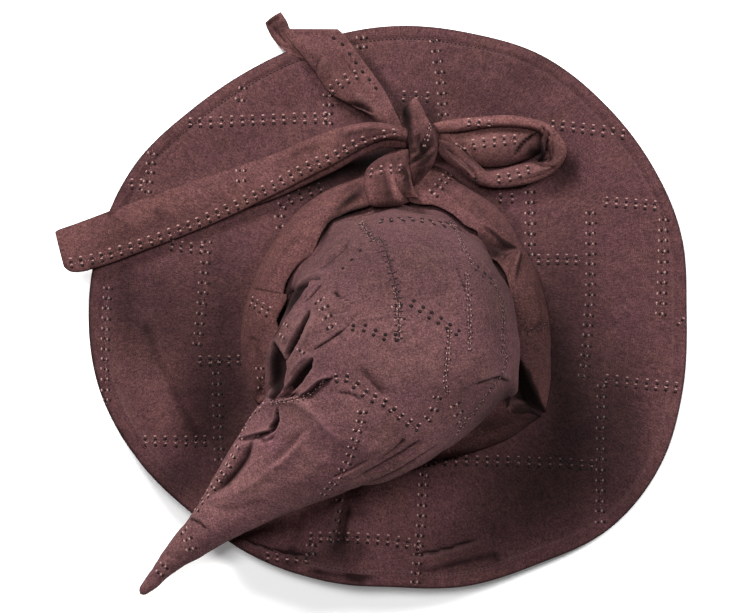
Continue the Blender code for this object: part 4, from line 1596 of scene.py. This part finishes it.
# %% Rows on the crown
CROWN_ROWS = (
    # kind, line
    ("steep", ((376, 222), (408, 219), (436, 223), (459, 227))),
    ("ladder", ((362, 222), (372, 239), (382, 241), (392, 272), (398, 300), (399, 342))),
    ("specks", ((452, 222), (464, 248), (474, 265))),
    ("dark", ((474, 265), (485, 276), (494, 283))),
    ("specks", ((494, 283), (503, 308), (503, 350), (507, 362), (487, 395), (454, 437))),
    ("specks", ((467, 272), (469, 305), (470, 352))),
    ("dark", ((408, 301), (462, 335))),
    ("dark", ((348, 328), (363, 328), (374, 332), (385, 337), (402, 338))),
    ("specks", ((450, 328), (448, 355), (445, 382), (449, 394))),
    ("loops", ((454, 400), (462, 424))),
    ("punched", ((332, 379), (347, 379), (357, 386), (367, 395), (387, 405), (397, 415),
               (412, 425), (422, 430))),
    ("punched", ((364, 407), (362, 420), (358, 432), (354, 445), (348, 463), (332, 487),
               (322, 497))),
    ("punched", ((439, 392), (434, 412), (424, 424))),
    ("loops", ((318, 297), (323, 307), (328, 320), (334, 331))),
    ("loops", ((262, 406), (250, 414), (240, 439), (232, 457), (225, 469), (212, 488),
               (202, 501), (194, 514))),
    ("loops", ((183, 528), (188, 540), (192, 553))),
    ("loops", ((166, 562), (157, 577))),
    ("loops", ((354, 224), (366, 222))),
    ("loops", ((396, 300), (401, 326))),
    ("specks", ((361, 222), (371, 238), (381, 242))),
    ("specks", ((394, 284), (398, 304), (400, 340))),
    ("dots", ((363, 246), (356, 256), (347, 264), (338, 272))),
    ("dots", ((310, 291), (301, 302))),
    ("loops", ((288, 319), (280, 342))),
    ("loops", ((303, 345), (299, 358))),
    ("specks", ((270, 404), (288, 400), (306, 396), (324, 382))),
)
seams[crown_cloth] = sew(crown_cloth, CROWN_ROWS, CROWN_PAINTED_SHADING)

# %% [markdown]
# ## The sash's seams
# The strip was pieced together too, so each stretch of it shows a few short rows.

# %% Rows on the sash
SASH_ROWS = (
    (sash_ring, (
        ("loops", ((250, 300), (272, 314))),
        ("loops", ((259, 363), (263, 392))),
        ("loops", ((430, 197), (441, 184), (453, 170))),
        ("ladder", ((524, 333), (548, 324))))),
    (tail_long_cloth, (
        ("loops", ((66, 264), (100, 257), (150, 241), (205, 219), (260, 193), (305, 168),
                   (330, 158), (350, 147), (372, 138), (400, 132))),
        ("loops", ((241, 166), (241, 186))))),
    (tail_short_cloth, (
        ("loops", ((321, 93), (334, 88), (345, 79), (360, 73))),
        ("dots", ((330, 35), (343, 45), (352, 57), (366, 76), (380, 92))))),
    (bow_cloth, (
        ("loops", ((458, 148), (490, 142), (520, 139))),
        ("loops", ((464, 122), (494, 125))),
        ("loops", ((494, 179), (512, 176), (533, 167))),
        ("dark", ((448, 166), (480, 182))))),
    (knot_cloth, (
        ("loops", ((367, 174), (380, 170), (404, 168))),
        ("specks", ((431, 121), (429, 133), (423, 148))))),
)
for cloth, rows in SASH_ROWS:
    seams[cloth] = sew(cloth, rows)

# %% [markdown]
# ## The stage
# The floor is plain and white, with a faint glow of its own that keeps it white beside the
# hat. A soft key light stands beyond the hat to the left, a weaker one beyond it to the right,
# and a wider one hangs overhead. The surround is pale and the camera looks straight down.

# %% Floor, lights and camera
FLOOR_SIZE = 8.0
FLOOR_DROP = 0.0004                  # just below the brim, so that no two faces coincide
FLOOR_GLOW = 0.14
SURROUND = 0.09
floor_mesh = bpy.data.meshes.new("floor")
half = FLOOR_SIZE / 2
floor_mesh.from_pydata([(x * half, y * half, -FLOOR_DROP)
                        for x, y in ((-1, -1), (1, -1), (1, 1), (-1, 1))], [], [(0, 1, 2, 3)])
floor = bpy.data.objects.new("floor", floor_mesh)
bpy.context.scene.collection.objects.link(floor)
floor_paint = bpy.data.materials.new("floor")
floor_paint.use_nodes = True
floor_shader = floor_paint.node_tree.nodes["Principled BSDF"]
floor_shader.inputs["Base Color"].default_value = (0.95, 0.95, 0.95, 1)
floor_shader.inputs["Roughness"].default_value = 0.9
floor_shader.inputs["Emission Color"].default_value = (1.0, 1.0, 1.0, 1)
floor_shader.inputs["Emission Strength"].default_value = FLOOR_GLOW
floor_mesh.materials.append(floor_paint)


def soft_light(name, place, size, power, colour):
    """A square area light that faces the middle of the hat."""
    lamp = bpy.data.lights.new(name, "AREA")
    lamp.size, lamp.energy, lamp.color = size, power, colour
    holder = bpy.data.objects.new(name, lamp)
    holder.location = place
    holder.rotation_mode = "QUATERNION"
    holder.rotation_quaternion = Vector(place).to_track_quat("Z", "Y")
    bpy.context.scene.collection.objects.link(holder)


soft_light("key", (-0.62, 1.12, 0.92), 0.36, 40, (1.0, 0.99, 0.98))
soft_light("side", (1.18, 0.72, 1.00), 0.36, 27, (0.99, 0.99, 1.0))
soft_light("fill", (-0.25, 0.45, 2.1), 0.6, 33, (1.0, 1.0, 1.0))
world = bpy.data.worlds.new("surround")
world.use_nodes = True
world.node_tree.nodes["Background"].inputs["Color"].default_value = (1.0, 1.0, 1.0, 1)
world.node_tree.nodes["Background"].inputs["Strength"].default_value = SURROUND
bpy.context.scene.world = world
bpy.context.scene.view_settings.view_transform = "Standard"

SENSOR = 36.0
PICTURE_STEPS = 750
lens = bpy.data.cameras.new("camera")
lens.sensor_width = SENSOR
lens.lens = SENSOR * EYE[2] / (PICTURE_STEPS * CHART_STEP)
camera = bpy.data.objects.new("camera", lens)
camera.location = (HEAD + EYE) * MM
bpy.context.scene.collection.objects.link(camera)
bpy.context.scene.camera = camera

# %% [markdown]
# ## Onto the frame
# Every piece rides on the one body and stands for its solids, which are hidden.

# %% Attach and hide
CLOTHS = (
    # piece, nodes it stands for, slot, flat width and length, flat area, held, rests on
    (brim_cloth, ["brim"], "brim_suede", (0.434, 0.434), 0.122, "laid", ["floor"]),
    (crown_cloth, ["crown"], "crown_suede", (0.54, 0.47), 0.125, "gathered", ["brim_cloth"]),
    (sash_ring, ["sash_band"], "sash_suede", (0.042, 0.66), None, "folded", ["brim_cloth"]),
    (tail_long_cloth, ["tail_long"], "sash_suede", (0.037, 0.27), None, "folded",
     ["brim_cloth"]),
    (tail_short_cloth, ["tail_short"], "sash_suede", (0.026, 0.15), None, "folded",
     ["brim_cloth"]),
    (bow_cloth, ["bow_loop"], "sash_suede", (0.025, 0.24), None, "folded", ["brim_cloth"]),
    (knot_cloth, ["knot_leaf", "knot_wrap"], "sash_suede", (0.030, 0.14), None, "folded",
     ["sash_ring"]),
)
for piece, nodes, slot, flat, area, held, rests_on in CLOTHS:
    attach(piece, "root")
    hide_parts(*nodes)
    for sewn in seams[piece]:
        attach(sewn, "root")
